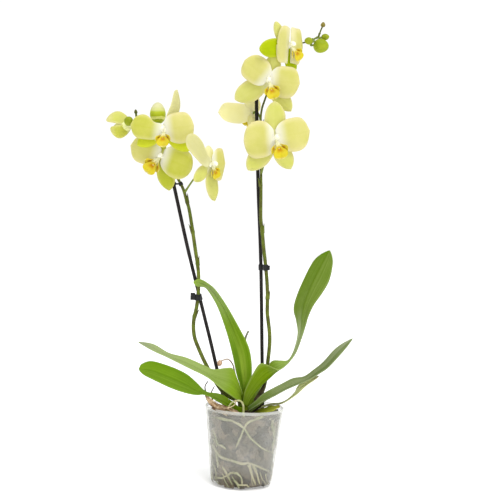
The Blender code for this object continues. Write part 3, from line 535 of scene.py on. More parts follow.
plainFinishes = {
    "columnWhite": {"colours": ((0.92, 0.91, 0.80), (0.85, 0.83, 0.60)), "patch": (200.0, 0.3),
                    "grain": (500.0, 0.1), "rough": 0.4, "shine": 0.5},
    "budGreen": {"colours": ((0.26, 0.33, 0.006), (0.38, 0.43, 0.02)), "patch": (60.0, 0.5),
                 "grain": (500.0, 0.15), "rough": 0.5},
    "budPale": {"colours": ((0.70, 0.72, 0.28), (0.80, 0.80, 0.42)), "patch": (60.0, 0.5),
                "grain": (500.0, 0.15), "rough": 0.5},
    "budDark": {"colours": ((0.20, 0.25, 0.005), (0.31, 0.36, 0.015)), "patch": (70.0, 0.5),
                "grain": (500.0, 0.15), "rough": 0.45},
    "budTip": {"colours": ((0.17, 0.13, 0.02), (0.28, 0.24, 0.05)), "patch": (200.0, 0.5),
               "grain": (500.0, 0.15), "rough": 0.5},
    "stemGreen": {"colours": ((0.075, 0.105, 0.008), (0.145, 0.18, 0.022)), "patch": (55.0, 0.5),
                  "grain": (400.0, 0.25), "rough": 0.45, "spot": (0.07, 0.060, 0.015)},
    "stemLight": {"colours": ((0.14, 0.19, 0.02), (0.22, 0.27, 0.06)), "patch": (75.0, 0.5),
                  "grain": (400.0, 0.25), "rough": 0.45},
    "stickBlack": {"colours": ((0.009, 0.007, 0.007), (0.022, 0.018, 0.017)), "patch": (80.0, 0.6),
                   "grain": (700.0, 0.2), "rough": 0.5},
    "clipBlack": {"colours": ((0.013, 0.013, 0.014), (0.026, 0.026, 0.028)), "patch": (90.0, 0.4),
                  "grain": (500.0, 0.1), "rough": 0.4},
    "rootSkin": {"colours": ((0.40, 0.42, 0.19), (0.58, 0.58, 0.34)), "patch": (90.0, 0.6),
                 "grain": (350.0, 0.4), "rough": 0.75, "spot": (0.32, 0.34, 0.10)},
    "rootGrey": {"colours": ((0.16, 0.17, 0.12), (0.26, 0.27, 0.20)), "patch": (90.0, 0.6),
                 "grain": (350.0, 0.4), "rough": 0.75},
    "rootDry": {"colours": ((0.30, 0.22, 0.15), (0.45, 0.36, 0.28)), "patch": (90.0, 0.6),
                "grain": (350.0, 0.5), "rough": 0.8, "shine": 0.5},
    "rootPaper": {"colours": ((0.42, 0.25, 0.15), (0.62, 0.42, 0.27)), "patch": (170.0, 0.8),
                  "grain": (400.0, 0.6), "rough": 0.75, "shine": 0.5},
    "sheathTan": {"colours": ((0.42, 0.28, 0.14), (0.74, 0.60, 0.38)), "patch": (110.0, 0.9),
                  "grain": (300.0, 0.6), "rough": 0.7, "shine": 0.5, "spot": (0.26, 0.13, 0.06)},
    "sheathDark": {"colours": ((0.030, 0.022, 0.010), (0.085, 0.065, 0.028)), "patch": (60.0, 0.8),
                   "grain": (300.0, 0.4), "rough": 0.7},
    "sheathBrown": {"colours": ((0.13, 0.07, 0.035), (0.30, 0.18, 0.10)), "patch": (110.0, 0.9),
                    "grain": (300.0, 0.6), "rough": 0.75, "shine": 0.5},
}


def plainMaterial(name, colours, patch, grain, rough, shine=0.15, spot=None):
    tree, shader = startMaterial(name, rough, Specular_IOR_Level=shine)
    scale, contrast = patch
    colour = patchesOf(tree, *colours, scale, contrast)["Colour"]
    if spot:
        small = useGroup(tree, mottle, Scale=scale * 2.7, Contrast=1.6)["Mask"]
        colour = tinted(tree, colour, spot, small, 0.6)
    feed(tree, shader.inputs["Base Color"], colour)
    addRelief(tree, shader, grain[0], 1.0, grain[1], 0.3)


for name, look in plainFinishes.items():
    plainMaterial(name, **look)


lipFinish = {"body": (0.72, 0.60, 0.015), "mark": (0.50, 0.17, 0.002), "edge": (0.82, 0.76, 0.36),
             "foot": (0.88, 0.86, 0.55)}


def makeLipMaterial():  # yellow, with brown marks round the throat and a cream rim
    tree, shader = startMaterial("lipYellow", 0.5, Specular_IOR_Level=0.06)
    lines = useGroup(tree, veins, Count=4.0, Spread=0.8, Rib_Width=0.5)
    along, mark, edge = lines["Along"], lipFinish["mark"], lipFinish["edge"]
    patches = patchesOf(tree, lipFinish["body"], edge, 120.0, 0.2)["Colour"]
    colour = mixColours(tree, 0.12, solid(lipFinish["body"]), patches)
    colour = tinted(tree, colour, edge, rampValue(tree, along, 0.86, 1.0), 0.6)
    middle = inverse(tree, rampValue(tree, lines["Across"], 0.15, 0.75))
    throat = times(tree, rampValue(tree, along, 0.25, 0.42), rampValue(tree, along, 0.72, 0.5))
    colour = tinted(tree, colour, mark, middle, throat, 0.8)
    colour = tinted(tree, colour, mark, lines["Veins"], throat, 0.4)
    colour = tinted(tree, colour, lipFinish["foot"], rampValue(tree, along, 0.38, 0.2))
    feed(tree, shader.inputs["Base Color"], colour)
    addRelief(tree, shader, 700.0, 0.5, 0.25, 0.15)
    letLightThrough(tree, shader, colour, 0.15)


barkFinish = {"dark": (0.035, 0.026, 0.014), "middle": (0.105, 0.082, 0.050), "light": (0.24, 0.19, 0.13)}


def makeBarkMaterial():  # every chip has a tone of its own
    tree, shader = startMaterial("barkBrown", 0.85, Specular_IOR_Level=0.2)
    tone = noiseNode(tree, ownPlace(tree), 37.0, 0.0)
    stops = zip((0.32, 0.5, 0.68), barkFinish.values())
    colour = rampColours(tree, tone, list(stops))
    patches = useGroup(tree, mottle, Scale=190.0, Contrast=0.8)["Mask"]
    colour = tinted(tree, colour, barkFinish["dark"], patches, 0.45)
    feed(tree, shader.inputs["Base Color"], colour)
    addRelief(tree, shader, 260.0, 1.0, 0.8, 0.8)


# hidden roots: two colours in patches, a spot colour, and "rim", the painted shade at their sides
hiddenRoot = {"colours": ((0.27, 0.28, 0.145), (0.45, 0.44, 0.27)), "spot": (0.40, 0.31, 0.19),
              "rim": (0.12, 0.11, 0.065)}


def makeHiddenRootMaterial():  # pressed to the wall, it darkens at its sides where it turns away, painted shade where it meets the bark
    tree, shader = startMaterial("rootHidden", 0.8, Specular_IOR_Level=0.1)
    colour = patchesOf(tree, *hiddenRoot["colours"], 42.0, 0.7)["Colour"]
    small = useGroup(tree, mottle, Scale=31.0, Contrast=1.2)["Mask"]
    colour = tinted(tree, colour, hiddenRoot["spot"], small, 0.35)
    # painted shade: the root darkens where its surface turns away, into the dark gap against the bark
    colour = tinted(tree, colour, hiddenRoot["rim"], rampValue(tree, facingRim(tree, 0.5), 0.15, 0.75))
    feed(tree, shader.inputs["Base Color"], colour)
    addRelief(tree, shader, 350.0, 1.0, 0.4, 0.3)


potFinish = {"colours": ((0.72, 0.73, 0.66), (0.84, 0.84, 0.80)), "veil": 0.112, "haze": 0.05,
             "footThin": -0.12, "lipThick": 0.2, "edge": (0.18, 0.44)}


def makePotMaterial():  # milky clear plastic, whiter where it is seen edge on
    tree, shader = startMaterial("potClear", 0.28, IOR=1.45, Specular_IOR_Level=0.5)
    clouds = patchesOf(tree, *potFinish["colours"], 30.0, 0.3)
    feed(tree, shader.inputs["Base Color"], clouds["Colour"])
    height = splitPlace(tree, objectPlace(tree))[2]
    edge = mathNode(tree, "POWER", facingRim(tree, 0.3), 2.0)
    haze = times(tree, clouds["Mask"], potFinish["haze"])
    foot = times(tree, inverse(tree, rampValue(tree, height, 0.002, 0.046)), potFinish["footThin"])
    lip = times(tree, rampValue(tree, height, 0.1125, 0.1145), potFinish["lipThick"])
    film = plus(tree, plus(tree, potFinish["veil"], haze), plus(tree, foot, lip))
    least, more = potFinish["edge"]
    rise = plus(tree, least, times(tree, rampValue(tree, height, 0.001, 0.012), more))
    feed(tree, shader.inputs["Alpha"], plus(tree, film, times(tree, edge, rise), clamp=True))
    addRelief(tree, shader, 90.0, 0.6, 0.15, 0.3)


budFinish = {
    "low": 0.541, "high": 0.573, "wander": 0.006,
    # the lighter stop at 0.12 in the green foot is a painted highlight
    "stops": [(0.0, (0.24, 0.33, 0.004)), (0.12, (0.42, 0.48, 0.015)), (0.15, (0.30, 0.38, 0.006)),
              (0.19, (0.74, 0.76, 0.25)), (0.28, (0.72, 0.74, 0.20)), (0.34, (0.38, 0.45, 0.012)),
              (0.52, (0.46, 0.53, 0.03)), (0.64, (0.62, 0.64, 0.24)), (0.80, (0.64, 0.63, 0.34)),
              (1.0, (0.62, 0.61, 0.36))]}


def makeBudMaterial():  # the half open bud: green below with a painted highlight across it, a pale slit, then pale sepals
    tree, shader = startMaterial("budSlit", 0.5, Specular_IOR_Level=0.15)
    place = objectPlace(tree)
    wander = times(tree, minus(tree, noiseNode(tree, place, 60.0, 2.0), 0.5), budFinish["wander"])
    height = plus(tree, splitPlace(tree, place)[2], wander)
    share = rampValue(tree, height, budFinish["low"], budFinish["high"], "LINEAR")
    feed(tree, shader.inputs["Base Color"], rampColours(tree, share, budFinish["stops"]))
    addRelief(tree, shader, 500.0, 1.0, 0.1, 0.2)


makeLipMaterial()
makeBarkMaterial()
makeHiddenRootMaterial()
makePotMaterial()
makeBudMaterial()
print("materials ready")


# pot

potSizes = {"height": 118.0, "footRadius": 46.5, "topRadius": 59.2, "rimRadius": 60.3, "rimHeight": 4.5,
            "wall": 0.8, "floor": 1.4, "wallRings": 12, "drains": 6, "drainRing": 29.0, "drainRadius": 4.0}
neck = potSizes["height"] - potSizes["rimHeight"]


def potInside(height):
    run = potSizes["topRadius"] - potSizes["footRadius"]
    return potSizes["footRadius"] + run * height / neck - potSizes["wall"]


def makePot():
    foot, top, rim, tall = (potSizes[k] for k in ("footRadius", "topRadius", "rimRadius", "height"))
    rings = potSizes["wallRings"]
    levels = [5 + (neck - 5) * k / rings for k in range(rings)]
    outer = [(0.001, 0.0), (foot - 9, 0.0), (foot - 4, 0.0), (foot - 2.2, 0.35), (foot - 0.9, 1.3),
             (foot - 0.1, 2.8), (foot + 0.45, 5.0)]
    outer += [(foot + 0.45 + (top - foot - 0.45) * k / rings, 5 + (neck - 5) * k / rings)
              for k in range(1, rings + 1)]
    outer += [(rim - 0.3, neck + 0.25), (rim, neck + 0.9), (rim, tall - 1.0), (rim - 0.25, tall - 0.3),
              (rim - 0.9, tall), (rim - 1.6, tall - 0.25), (top - 0.8, tall - 1.2)]
    inner = [(potInside(neck), neck)]
    inner += [(potInside(level), level) for level in reversed(levels)]
    inner += [(foot - 3.4, 2.4), (foot - 6, potSizes["floor"]), (0.001, potSizes["floor"])]
    pot = makeTurned("potWall", outer + inner, 96, "potClear")
    cutters = []
    for k in range(potSizes["drains"]):
        angle = 2 * math.pi * (k + 0.5) / potSizes["drains"]
        deselectAll()
        bpy.ops.mesh.primitive_cylinder_add(
            vertices=24, radius=potSizes["drainRadius"] * mm, depth=0.02,
            location=(potSizes["drainRing"] * mm * math.sin(angle),
                      potSizes["drainRing"] * mm * math.cos(angle), 0))
        cutters.append(bpy.context.object)
    cutter = joinPieces(cutters, "drainCutter")
    cut = pot.modifiers.new("drains", "BOOLEAN")
    cut.object = cutter
    cut.operation = "DIFFERENCE"
    applyAll(pot)
    bpy.data.objects.remove(cutter)
    makeActive(pot)
    bpy.ops.object.shade_smooth_by_angle(angle=math.radians(40))
    settle(pot, ["pot"])


makePot()
print("pot done")


# bark: loose chips round a dark core

barkLook = {"seed": 11, "shapes": 7, "sideChips": 270, "topChips": 210, "size": (10.0, 22.0),
            "flat": (0.72, 0.42), "top": 101.0, "room": 5.3, "press": 1.9, "goldenTurn": 2.39996}


def makeChipShapes(chance):
    noise.seed_set(barkLook["seed"])  # the chips come out the same each run
    shapes = []
    wide, tall = barkLook["flat"]
    for _ in range(barkLook["shapes"]):
        deselectAll()
        bpy.ops.mesh.primitive_cube_add(size=1)
        chip = bpy.context.object
        bpy.ops.object.mode_set(mode="EDIT")
        bpy.ops.mesh.subdivide(number_cuts=2)
        bpy.ops.object.mode_set(mode="OBJECT")
        seed = Vector((chance.random(), chance.random(), chance.random())) * 40
        for corner in chip.data.vertices:
            at = corner.co
            push = noise.noise_vector(at * 1.7 + seed) * 0.34 + noise.noise_vector(at * 5 + seed) * 0.10
            corner.co = Vector((at.x + push.x, at.y * wide + push.y, at.z * tall + push.z * 0.6))
        coat(chip, "barkBrown")
        shapes.append(chip)
    return shapes


def tumble(axis, angle):
    return Matrix.Rotation(angle, 4, axis)


def makeBark():
    chance = random.Random(barkLook["seed"])
    floor = potSizes["floor"] + 0.4
    top = barkLook["top"]
    room = barkLook["room"] + 2.0
    profile = [(0.001, floor), (potInside(2) - room - 3, floor)]
    profile += [(potInside(6 + (top - 20) * k / 8) - room, 6 + (top - 20) * k / 8) for k in range(9)]
    profile += [(44, top - 7), (30, top - 5), (12, top - 6), (0.001, top - 6)]
    parts = [makeTurned("barkCore", profile, 48, "barkBrown")]
    shapes = makeChipShapes(chance)
    low, high = barkLook["size"]
    for k in range(barkLook["sideChips"] + barkLook["topChips"]):
        chip = random.Random(k * 7 + 3)
        size = low + (high - low) * chip.random() ** 1.6
        turn = barkLook["goldenTurn"] * k
        if k < barkLook["sideChips"]:
            height = 8 + (top - 7) * (k + 0.5) / barkLook["sideChips"]
            radius = potInside(height) - room + 0.4
            face = tumble("Z", turn) @ tumble("Y", math.radians(90))
            spin = tumble("Z", 2 * math.pi * chip.random()) @ tumble("X", 0.5 * (chip.random() - 0.5))
        else:
            share = (k - barkLook["sideChips"] + 0.5) / barkLook["topChips"]
            radius = 10 + 39.5 * math.sqrt(share)
            face = Matrix.Identity(4)
            spin = (tumble("Z", 2 * math.pi * chip.random()) @ tumble("X", 0.9 * (chip.random() - 0.5))
                    @ tumble("Y", 0.9 * (chip.random() - 0.5)))
            height = top - 4 + 4 * chip.random() + radius * 0.07
        place = Vector((radius * math.cos(turn), radius * math.sin(turn), height))
        copy = shapes[k % len(shapes)].copy()
        copy.data = copy.data.copy()
        bpy.context.scene.collection.objects.link(copy)
        copy.data.transform(Matrix.Translation(place * mm) @ face @ spin @ Matrix.Scale(size * mm, 4))
        tone = (chip.random(), chip.random())
        for corner in copy.data.uv_layers.active.data:
            corner.uv = tone
        parts.append(copy)
    for shape in shapes:
        bpy.data.objects.remove(shape)
    bark = joinPieces(parts, "barkChips")
    for corner in bark.data.vertices:  # pressed flat where a chip meets the wall or the floor
        corner.co.z = max(corner.co.z, (potSizes["floor"] + 0.3) * mm)
        limit = (potInside(corner.co.z / mm) - barkLook["press"]) * mm
        radius = math.hypot(corner.co.x, corner.co.y)
        if radius > limit:
            corner.co.x *= limit / radius
            corner.co.y *= limit / radius
    makeActive(bark)
    bpy.ops.object.shade_smooth_by_angle(angle=math.radians(50))
    settle(bark, ["bark_mix"])


makeBark()
print("bark done")


# roots: (bearing from the front in degrees, height) down the wall, and free lines in the air

rootLook = {"radius": 2.7, "thin": 1.1, "gap": 0.35, "extra": 16, "seed": 5, "collar": 9.5,
            "knobPlace": (-40.5, -9, 182.5), "knobSize": (3.6, 3.2, 4.4)}
wallRoots = [
    [(-62, 99), (-37, 105), (-18, 103), (-7, 99), (2, 93), (10, 82), (24, 70), (42, 60), (66, 54)],
    [(30, 108), (14, 106), (5, 101), (1, 94), (-3, 84), (-11, 64)],
    [(-64, 61), (-51, 51), (-38, 46), (-5, 41), (13, 41), (32, 35), (54, 27), (84, 15)],
    [(13, 41), (16, 32), (22, 19), (29, 8)],
    [(20, 39), (28, 27), (38, 9)],
    [(52, 96), (57, 86), (66, 74), (92, 56)],
    [(-37, 33), (-31, 26), (-25, 18), (-16, 8)],
    [(110, 104), (104, 80), (122, 60), (118, 34), (138, 14)],
    [(150, 102), (164, 84), (150, 62), (172, 40), (160, 12)],
    [(-158, 104), (-148, 78), (-166, 56), (-150, 30), (-134, 10)],
    [(-112, 102), (-104, 76), (-122, 52), (-108, 24)],
    [(-53, 52), (-51, 45), (-49, 37), (-48, 28)],
    [(-64, 11), (-55, 12), (-44, 14), (-34, 17), (-27, 21)],
    [(-27, 20), (-20, 25), (-11, 26), (-3, 22), (1, 16), (2, 7)],
    [(-60, 72), (-49, 65), (-38, 64), (-29, 60)],
    [(-60, 84), (-54, 78), (-50, 70), (-49, 60)],
    [(58, 94), (62, 84), (64, 74), (63, 62), (66, 50)],
    [(-14, 14), (-4, 9), (8, 8), (16, 6)],
]
airRoots = [
    ([(0, -39, 104), (-1, -35, 112), (-2, -33, 124), (-6, -32, 130), (-13, -32, 130), (-20, -32, 126),
      (-25, -33, 118), (-28, -33, 106)], 1.7, "rootSkin"),
    ([(-5, 7, 100), (-8, 13, 110), (-11, 13, 130), (-13, 11, 150), (-17, 8, 166), (-21, 3, 180),
      (-28, -3, 188), (-35, -6, 187), (-40, -9, 184), (-42, -10, 179)], 1.3, "rootDry"),
    ([(5, 7, 100), (5, 14, 112), (3, 15, 140), (-1, 13, 184), (-3, 11, 209), (-3, 9, 221), (1, 7, 232)],
     2.1, "rootGrey"),
]
feeders = [0, 1, 5, 7, 8, 9, 10]


def wallPoint(bearing, height, radius):
    out = potInside(height) - radius - rootLook["gap"]
    angle = math.radians(bearing)
    return Vector((out * math.sin(angle), -out * math.cos(angle), height))


def heldToWall(point, radius):
    return wallPoint(math.degrees(math.atan2(point.x, -point.y)), min(max(point.z, 3.5), 110.0), radius)


def makeWallRoot(number, route, chance):  # down the wall, and first across the top if it feeds the crown
    top, size = barkLook["top"], rootLook["radius"]
    feeds = number in feeders
    knots = []
    if feeds:
        bearing, height = route[0]
        angle = math.radians(bearing)
        for radius, rise in ((4, top - 1), (13, top - 0.6), (27, top + 3), (41, top + 3.5)):
            knots.append(Vector((radius * math.sin(angle), -radius * math.cos(angle), rise)))
        knots.append(wallPoint(bearing, max(height, top - 1) + 3, size))
        route = route if height < top - 3 else route[1:]
    knots += [wallPoint(*place, size) for place in route]
    count = 9 * len(knots)
    free = 5 * 9 if feeds else 0
    grow = 0.8 + 0.35 * chance.random()
    radii = []
    line = []
    for k, point in enumerate(smoothLine(knots, count)):
        swell = 1 + 0.45 * noise.noise(Vector((number * 5.1, k * 0.11, 0)))
        ends = min(1, (count - k + 0.5) / 5, (k + 2) / 6) ** 0.5
        radii.append(size * grow * (1 - 0.45 * k / count) * swell * ends)
        wander = Vector((0, 0, 1.5 * noise.noise(Vector((number * 3.7, k * 0.13, 5)))))
        line.append(point if k < free else heldToWall(point + wander, radii[k]))
    return makeTube("root", line, radii, "rootHidden", 3)


def makeThinRoot(number, chance):  # it wanders low round the wall
    thin, steps = rootLook["thin"], 30
    bearing = -180 + 360 * (number + 0.6 * chance.random()) / rootLook["extra"]
    height = 14 + 26 * chance.random()
    knots = []
    for _ in range(5):
        knots.append(wallPoint(bearing, height, thin))
        bearing += 14 * (chance.random() - 0.4) + 5
        height = max(4.0, height - 3 - 8 * chance.random())
    line = [heldToWall(point, thin) for point in smoothLine(knots, steps)]
    radii = [thin * (1 - 0.5 * k / steps) * min(1, (steps + 0.5 - k) / 4) ** 0.5 for k in range(steps)]
    return makeTube("root", line, radii, "rootHidden", 2)


def makeAirRoot(knots, radius, skin):
    steps = 60
    radii = []
    for k in range(steps):
        swell = 1 + 0.12 * noise.noise(Vector((radius * 7, k * 0.2, 3)))
        radii.append(radius * (1 - 0.3 * k / steps) * swell * min(1, (steps + 0.5 - k) / 3) ** 0.5)
    return makeTube("root", smoothLine(knots, steps), radii, skin, 3)


def makeKnob():  # the papery end of the arching root
    deselectAll()
    bpy.ops.mesh.primitive_ico_sphere_add(subdivisions=4, radius=1)
    knob = bpy.context.object
    middle, size = Vector(rootLook["knobPlace"]), Vector(rootLook["knobSize"])
    for corner in knob.data.vertices:
        crumple = 1 + 0.35 * noise.noise(corner.co * 2.3) + 0.16 * noise.noise(corner.co * 6)
        corner.co = (middle + corner.co * size * crumple) * mm
    coat(knob, "rootPaper")
    return applyAll(knob)


def makeRoots():
    middle = Vector((1, 0, barkLook["top"] - 1.5))
    parts = [makeBall(rootLook["collar"], middle, (1, 1, 0.28), "rootSkin", 24)]
    chance = random.Random(rootLook["seed"])
    for number, route in enumerate(wallRoots):
        parts.append(makeWallRoot(number, route, chance))
    for number in range(rootLook["extra"]):
        parts.append(makeThinRoot(number, chance))
    for knots, radius, skin in airRoots:
        parts.append(makeAirRoot(knots, radius, skin))
    parts.append(makeKnob())
    settle(joinPieces(parts, "rootMass"), ["roots"])


makeRoots()
print("roots done")


# leaves: two edge lines from base to tip, and a rib that hangs below them or has its own line

leafLines = {
    "upperLeft": {
        "node": "leaf_upper_left", "finish": "leafUpperLeft",
        "far": [(0, -2, 127), (-11, -7, 156), (-20, -10, 175), (-32, -12, 176), (-49, -14, 174),
                (-65, -15, 179), (-93, -15, 190), (-119, -14, 196), (-142, -14, 207), (-165, -18, 211)],
        "near": [(0, -4, 121), (-12, -12, 128), (-24, -20, 137), (-35, -28, 146), (-52, -31, 159),
                 (-69, -33, 169), (-91, -33, 179), (-117, -30, 189), (-138, -25, 197), (-164, -20, 209)],
        "sag": (4, 7, -6)},
    "lowerLeft": {
        "node": "leaf_lower_left", "finish": "leafLowerLeft",
        "far": [(1, -4, 116), (-8, -16, 119), (-19, -24, 128), (-38, -28, 139), (-57, -35, 143),
                (-72, -32, 154), (-90, -30, 167), (-114, -32, 178), (-140, -38, 185), (-154, -46, 181),
                (-158, -51, 175)],
        "near": [(1, -5, 108), (-8, -18, 111), (-20, -27, 118), (-38, -35, 128), (-58, -41, 139),
                 (-72, -52, 139), (-89, -62, 144), (-113, -66, 152), (-137, -64, 161), (-150, -60, 167),
                 (-158, -53, 172)],
        "sag": (2, 2, -6)},
    "upright": {
        "node": "leaf_upright", "finish": "leafUpright",
        "far": [(-4, -4, 130), (-7, -3, 146), (-14, -4, 165), (-22, -8, 196), (-33, -14, 231),
                (-48, -22, 270), (-64, -32, 294), (-73, -40, 298), (-79, -50, 299), (-83, -56, 304)],
        "near": [(-1, -5, 130), (2, -4, 148), (9, -8, 167), (4, -14, 205), (-12, -22, 237), (-30, -28, 266),
                 (-50, -34, 293), (-62, -40, 304), (-74, -50, 310), (-83, -56, 307)],
        "sag": (0, 8, 0)},
    "tallRight": {
        "node": "leaf_tall_right", "finish": "leafTallRight",
        "far": [(7, -6, 119), (17, 0, 136), (29, 5, 157), (33, 4, 177), (40, 4, 188), (52, 0, 190),
                (63, -4, 192), (71, -6, 207), (76, -6, 232), (73, -4, 250), (68, -4, 269), (72, -6, 291),
                (82, -10, 319), (93, -18, 343), (107, -28, 360)],
        "near": [(-3, -10, 121), (-1, -15, 142), (9, -20, 167), (20, -22, 186), (32, -22, 185),
                 (48, -20, 178), (61, -16, 186), (74, -12, 202), (83, -12, 230), (88, -16, 251),
                 (96, -22, 275), (108, -26, 295), (118, -30, 315), (122, -34, 338), (121, -38, 358)],
        "rib": [(3, -9, 119), (10, -10, 134), (22, -9, 150), (34, -10, 162), (45, -10, 173), (54, -10, 180),
                (64, -9, 189), (73, -8, 206), (79, -8, 231), (81, -9, 251), (84, -12, 277), (92, -16, 303),
                (101, -22, 326), (110, -29, 347), (116, -35, 361)],
        "sag": (4, -3, -6)},
    "longRight": {
        "node": "leaf_long_right", "finish": "leafLongRight",
        "far": [(5, -8, 118), (15, -14, 128), (25, -15, 138), (37, -13, 146), (52, -10, 155),
                (70, -14, 165), (88, -18, 169), (102, -22, 182), (116, -24, 195), (134, -28, 216),
                (156, -34, 233)],
        "near": [(3, -9, 111), (14, -19, 120), (27, -25, 130), (42, -30, 139.5), (58, -34, 149),
                 (75, -40, 158), (92, -44, 168), (106, -46, 177), (121, -46, 187), (139, -42, 208),
                 (157, -36, 230)],
        "sag": (3, 0, -6)},
    "thinStalked": {
        "node": "leaf_thin_stalked", "finish": "leafOld",
        "far": [(8, 5, 112), (27, 9, 118), (42, 4, 123), (54, -3, 126), (65, -8, 133), (75, -12, 144),
                (79, -14, 154), (87, -16, 161), (98, -17, 167), (110, -18, 172)],
        "near": [(8, 2, 110.5), (27, 6, 116), (42, 1, 121), (54, -6, 124), (66, -11, 131), (78, -16, 141),
                 (84, -20, 148), (92, -23, 156), (101, -22, 163), (110, -20, 170)],
        "sag": (0, 0, -1)},
    "stub": {
        "node": "leaf_stub", "finish": "leafStub",
        "far": [(9, -1, 109), (24, -7, 115), (36, -8, 120), (47, -8, 122), (54, -12, 123)],
        "near": [(8, -3, 104.5), (23, -21, 110), (36, -28, 115), (47, -25, 119), (54, -15, 121)],
        "sag": (0, 0, -3)},
}
leafLook = {"thick": 1.5, "groove": 0.9, "wave": 0.8, "tip": 0.06, "rows": 64, "stubRows": 20,
            "columns": 16}


def leafPoint(leaf, u, v):
    def ribAt(share):
        middle = (pathAt(leaf["far"], share) + pathAt(leaf["near"], share)) / 2
        return pathAt(leaf["rib"], share) if "rib" in leaf else middle + Vector(leaf["sag"]) * (1 - share)

    far, near = pathAt(leaf["far"], v), pathAt(leaf["near"], v)
    rib = ribAt(v)
    s = 2 * u - 1
    s = math.copysign(abs(s) ** 1.2, s)
    point = rib + (near - far) / 2 * s + ((far + near) / 2 - rib) * abs(s) ** 1.5
    into = (v - 1 + leafLook["tip"]) / leafLook["tip"]
    if into > 0:  # the tip rounds off
        point = rib + (point - rib) * (0.12 + 0.88 * math.sqrt(max(0, 1 - into ** 2)))
    ahead = ribAt(min(1, v + 0.01)) - ribAt(max(0, v - 0.01))
    under = (near - far).cross(ahead).normalized()
    if under.dot(Vector(leaf["sag"])) < 0:
        under.negate()
    fade = min(1, (1 - v) * 6)
    hollow = leafLook["groove"] * math.exp(-(s / 0.1) ** 2) * fade
    wave = leafLook["wave"] * math.sin(v * 19 + (2 if s > 0 else 0)) * s * s * fade * min(1, v * 4)
    return point + under * (hollow + wave)


def makeLeaves():
    for name, leaf in leafLines.items():
        rows = leafLook["stubRows" if name == "stub" else "rows"]
        blade = makeSheet(f"leaf.{name}", leafLook["columns"], rows, lambda u, v: leafPoint(leaf, u, v),
                          leafLook["thick"], leaf["finish"])
        settle(blade, [leaf["node"]])


makeLeaves()
print("leaves done")


# crown: the short stem, wrapped by the feet of the leaves

crownLook = {
    "low": 103, "tall": 44, "across": 3, "rings": 22,
    "widths": [(103.0, 7.5), (108.0, 10.5), (116.0, 12.0), (127.0, 11.0), (138.0, 8.0), (147.0, 3.5)],
    "depths": [(103.0, 6.5), (108.0, 8.0), (116.0, 8.0), (127.0, 6.5), (138.0, 5.0), (147.0, 2.5)],
    "scraps": [([(4, -6, 107), (12, -8, 113), (20, -7, 119), (26, -4, 123)], 9.0),
               ([(6, 2, 108), (14, 1, 117), (24, -1, 121)], 10.0),
               ([(-4, -9, 106), (2, -12, 110), (9, -13, 112), (16, -12, 113)], 6.0)]}


def scrapPoint(line, width, number, u, v):
    at = pathAt(line, v)
    along = (pathAt(line, min(1, v + 0.02)) - pathAt(line, max(0, v - 0.02))).normalized()
    across = along.cross(Vector((0.1, -1, 0.3))).normalized()
    crumple = noise.noise(Vector((u * 3 + number * 5, v * 5, 4.5)))
    half = width / 2 * min(1, 3 * v + 0.5, 5 * (1 - v) + 0.15) * (1 + 0.4 * crumple)
    s = 2 * u - 1
    return at + across * half * s + along.cross(across) * (1.5 * crumple + 0.2 * width * (1 - s ** 2))


def makeCrown():
    deselectAll()
    bpy.ops.mesh.primitive_grid_add(x_subdivisions=48, y_subdivisions=crownLook["rings"], size=1)
    crown = bpy.context.object
    for corner in crown.data.vertices:
        angle = 2 * math.pi * (corner.co.x + 0.5)
        height = crownLook["low"] + crownLook["tall"] * (corner.co.y + 0.5)
        fold = 1 + 0.05 * math.sin(3 * angle + height * 0.12)
        close = min(1, (147.5 - height) / 3, (height - 101.5) / 2)
        wide = readTable(crownLook["widths"], height) * fold * close
        deep = readTable(crownLook["depths"], height) * fold * close
        corner.co = Vector((crownLook["across"] + wide * math.sin(angle), -deep * math.cos(angle),
                            height)) * mm
    bpy.ops.object.mode_set(mode="EDIT")
    bpy.ops.mesh.select_all(action="SELECT")
    bpy.ops.mesh.remove_doubles(threshold=0.00002)
    bpy.ops.mesh.select_all(action="DESELECT")
    bpy.ops.mesh.select_non_manifold()
    bpy.ops.mesh.edge_face_add()
    bpy.ops.mesh.select_all(action="SELECT")
    bpy.ops.mesh.normals_make_consistent(inside=False)
    bpy.ops.object.mode_set(mode="OBJECT")
    crown.name = "crownSheaths"
    coat(crown, "crownGreen")
    parts = [applyAll(crown)]
    for number, (line, width) in enumerate(crownLook["scraps"]):  # dark shreds of old leaf feet
        parts.append(makeSheet("scrap", 8, 20, lambda u, v: scrapPoint(line, width, number, u, v), 0.8,
                               "sheathDark"))
    settle(joinPieces(parts, "crownSheaths"), ["crown"])


makeCrown()
print("crown done")


# flower stems, their sticks and clips

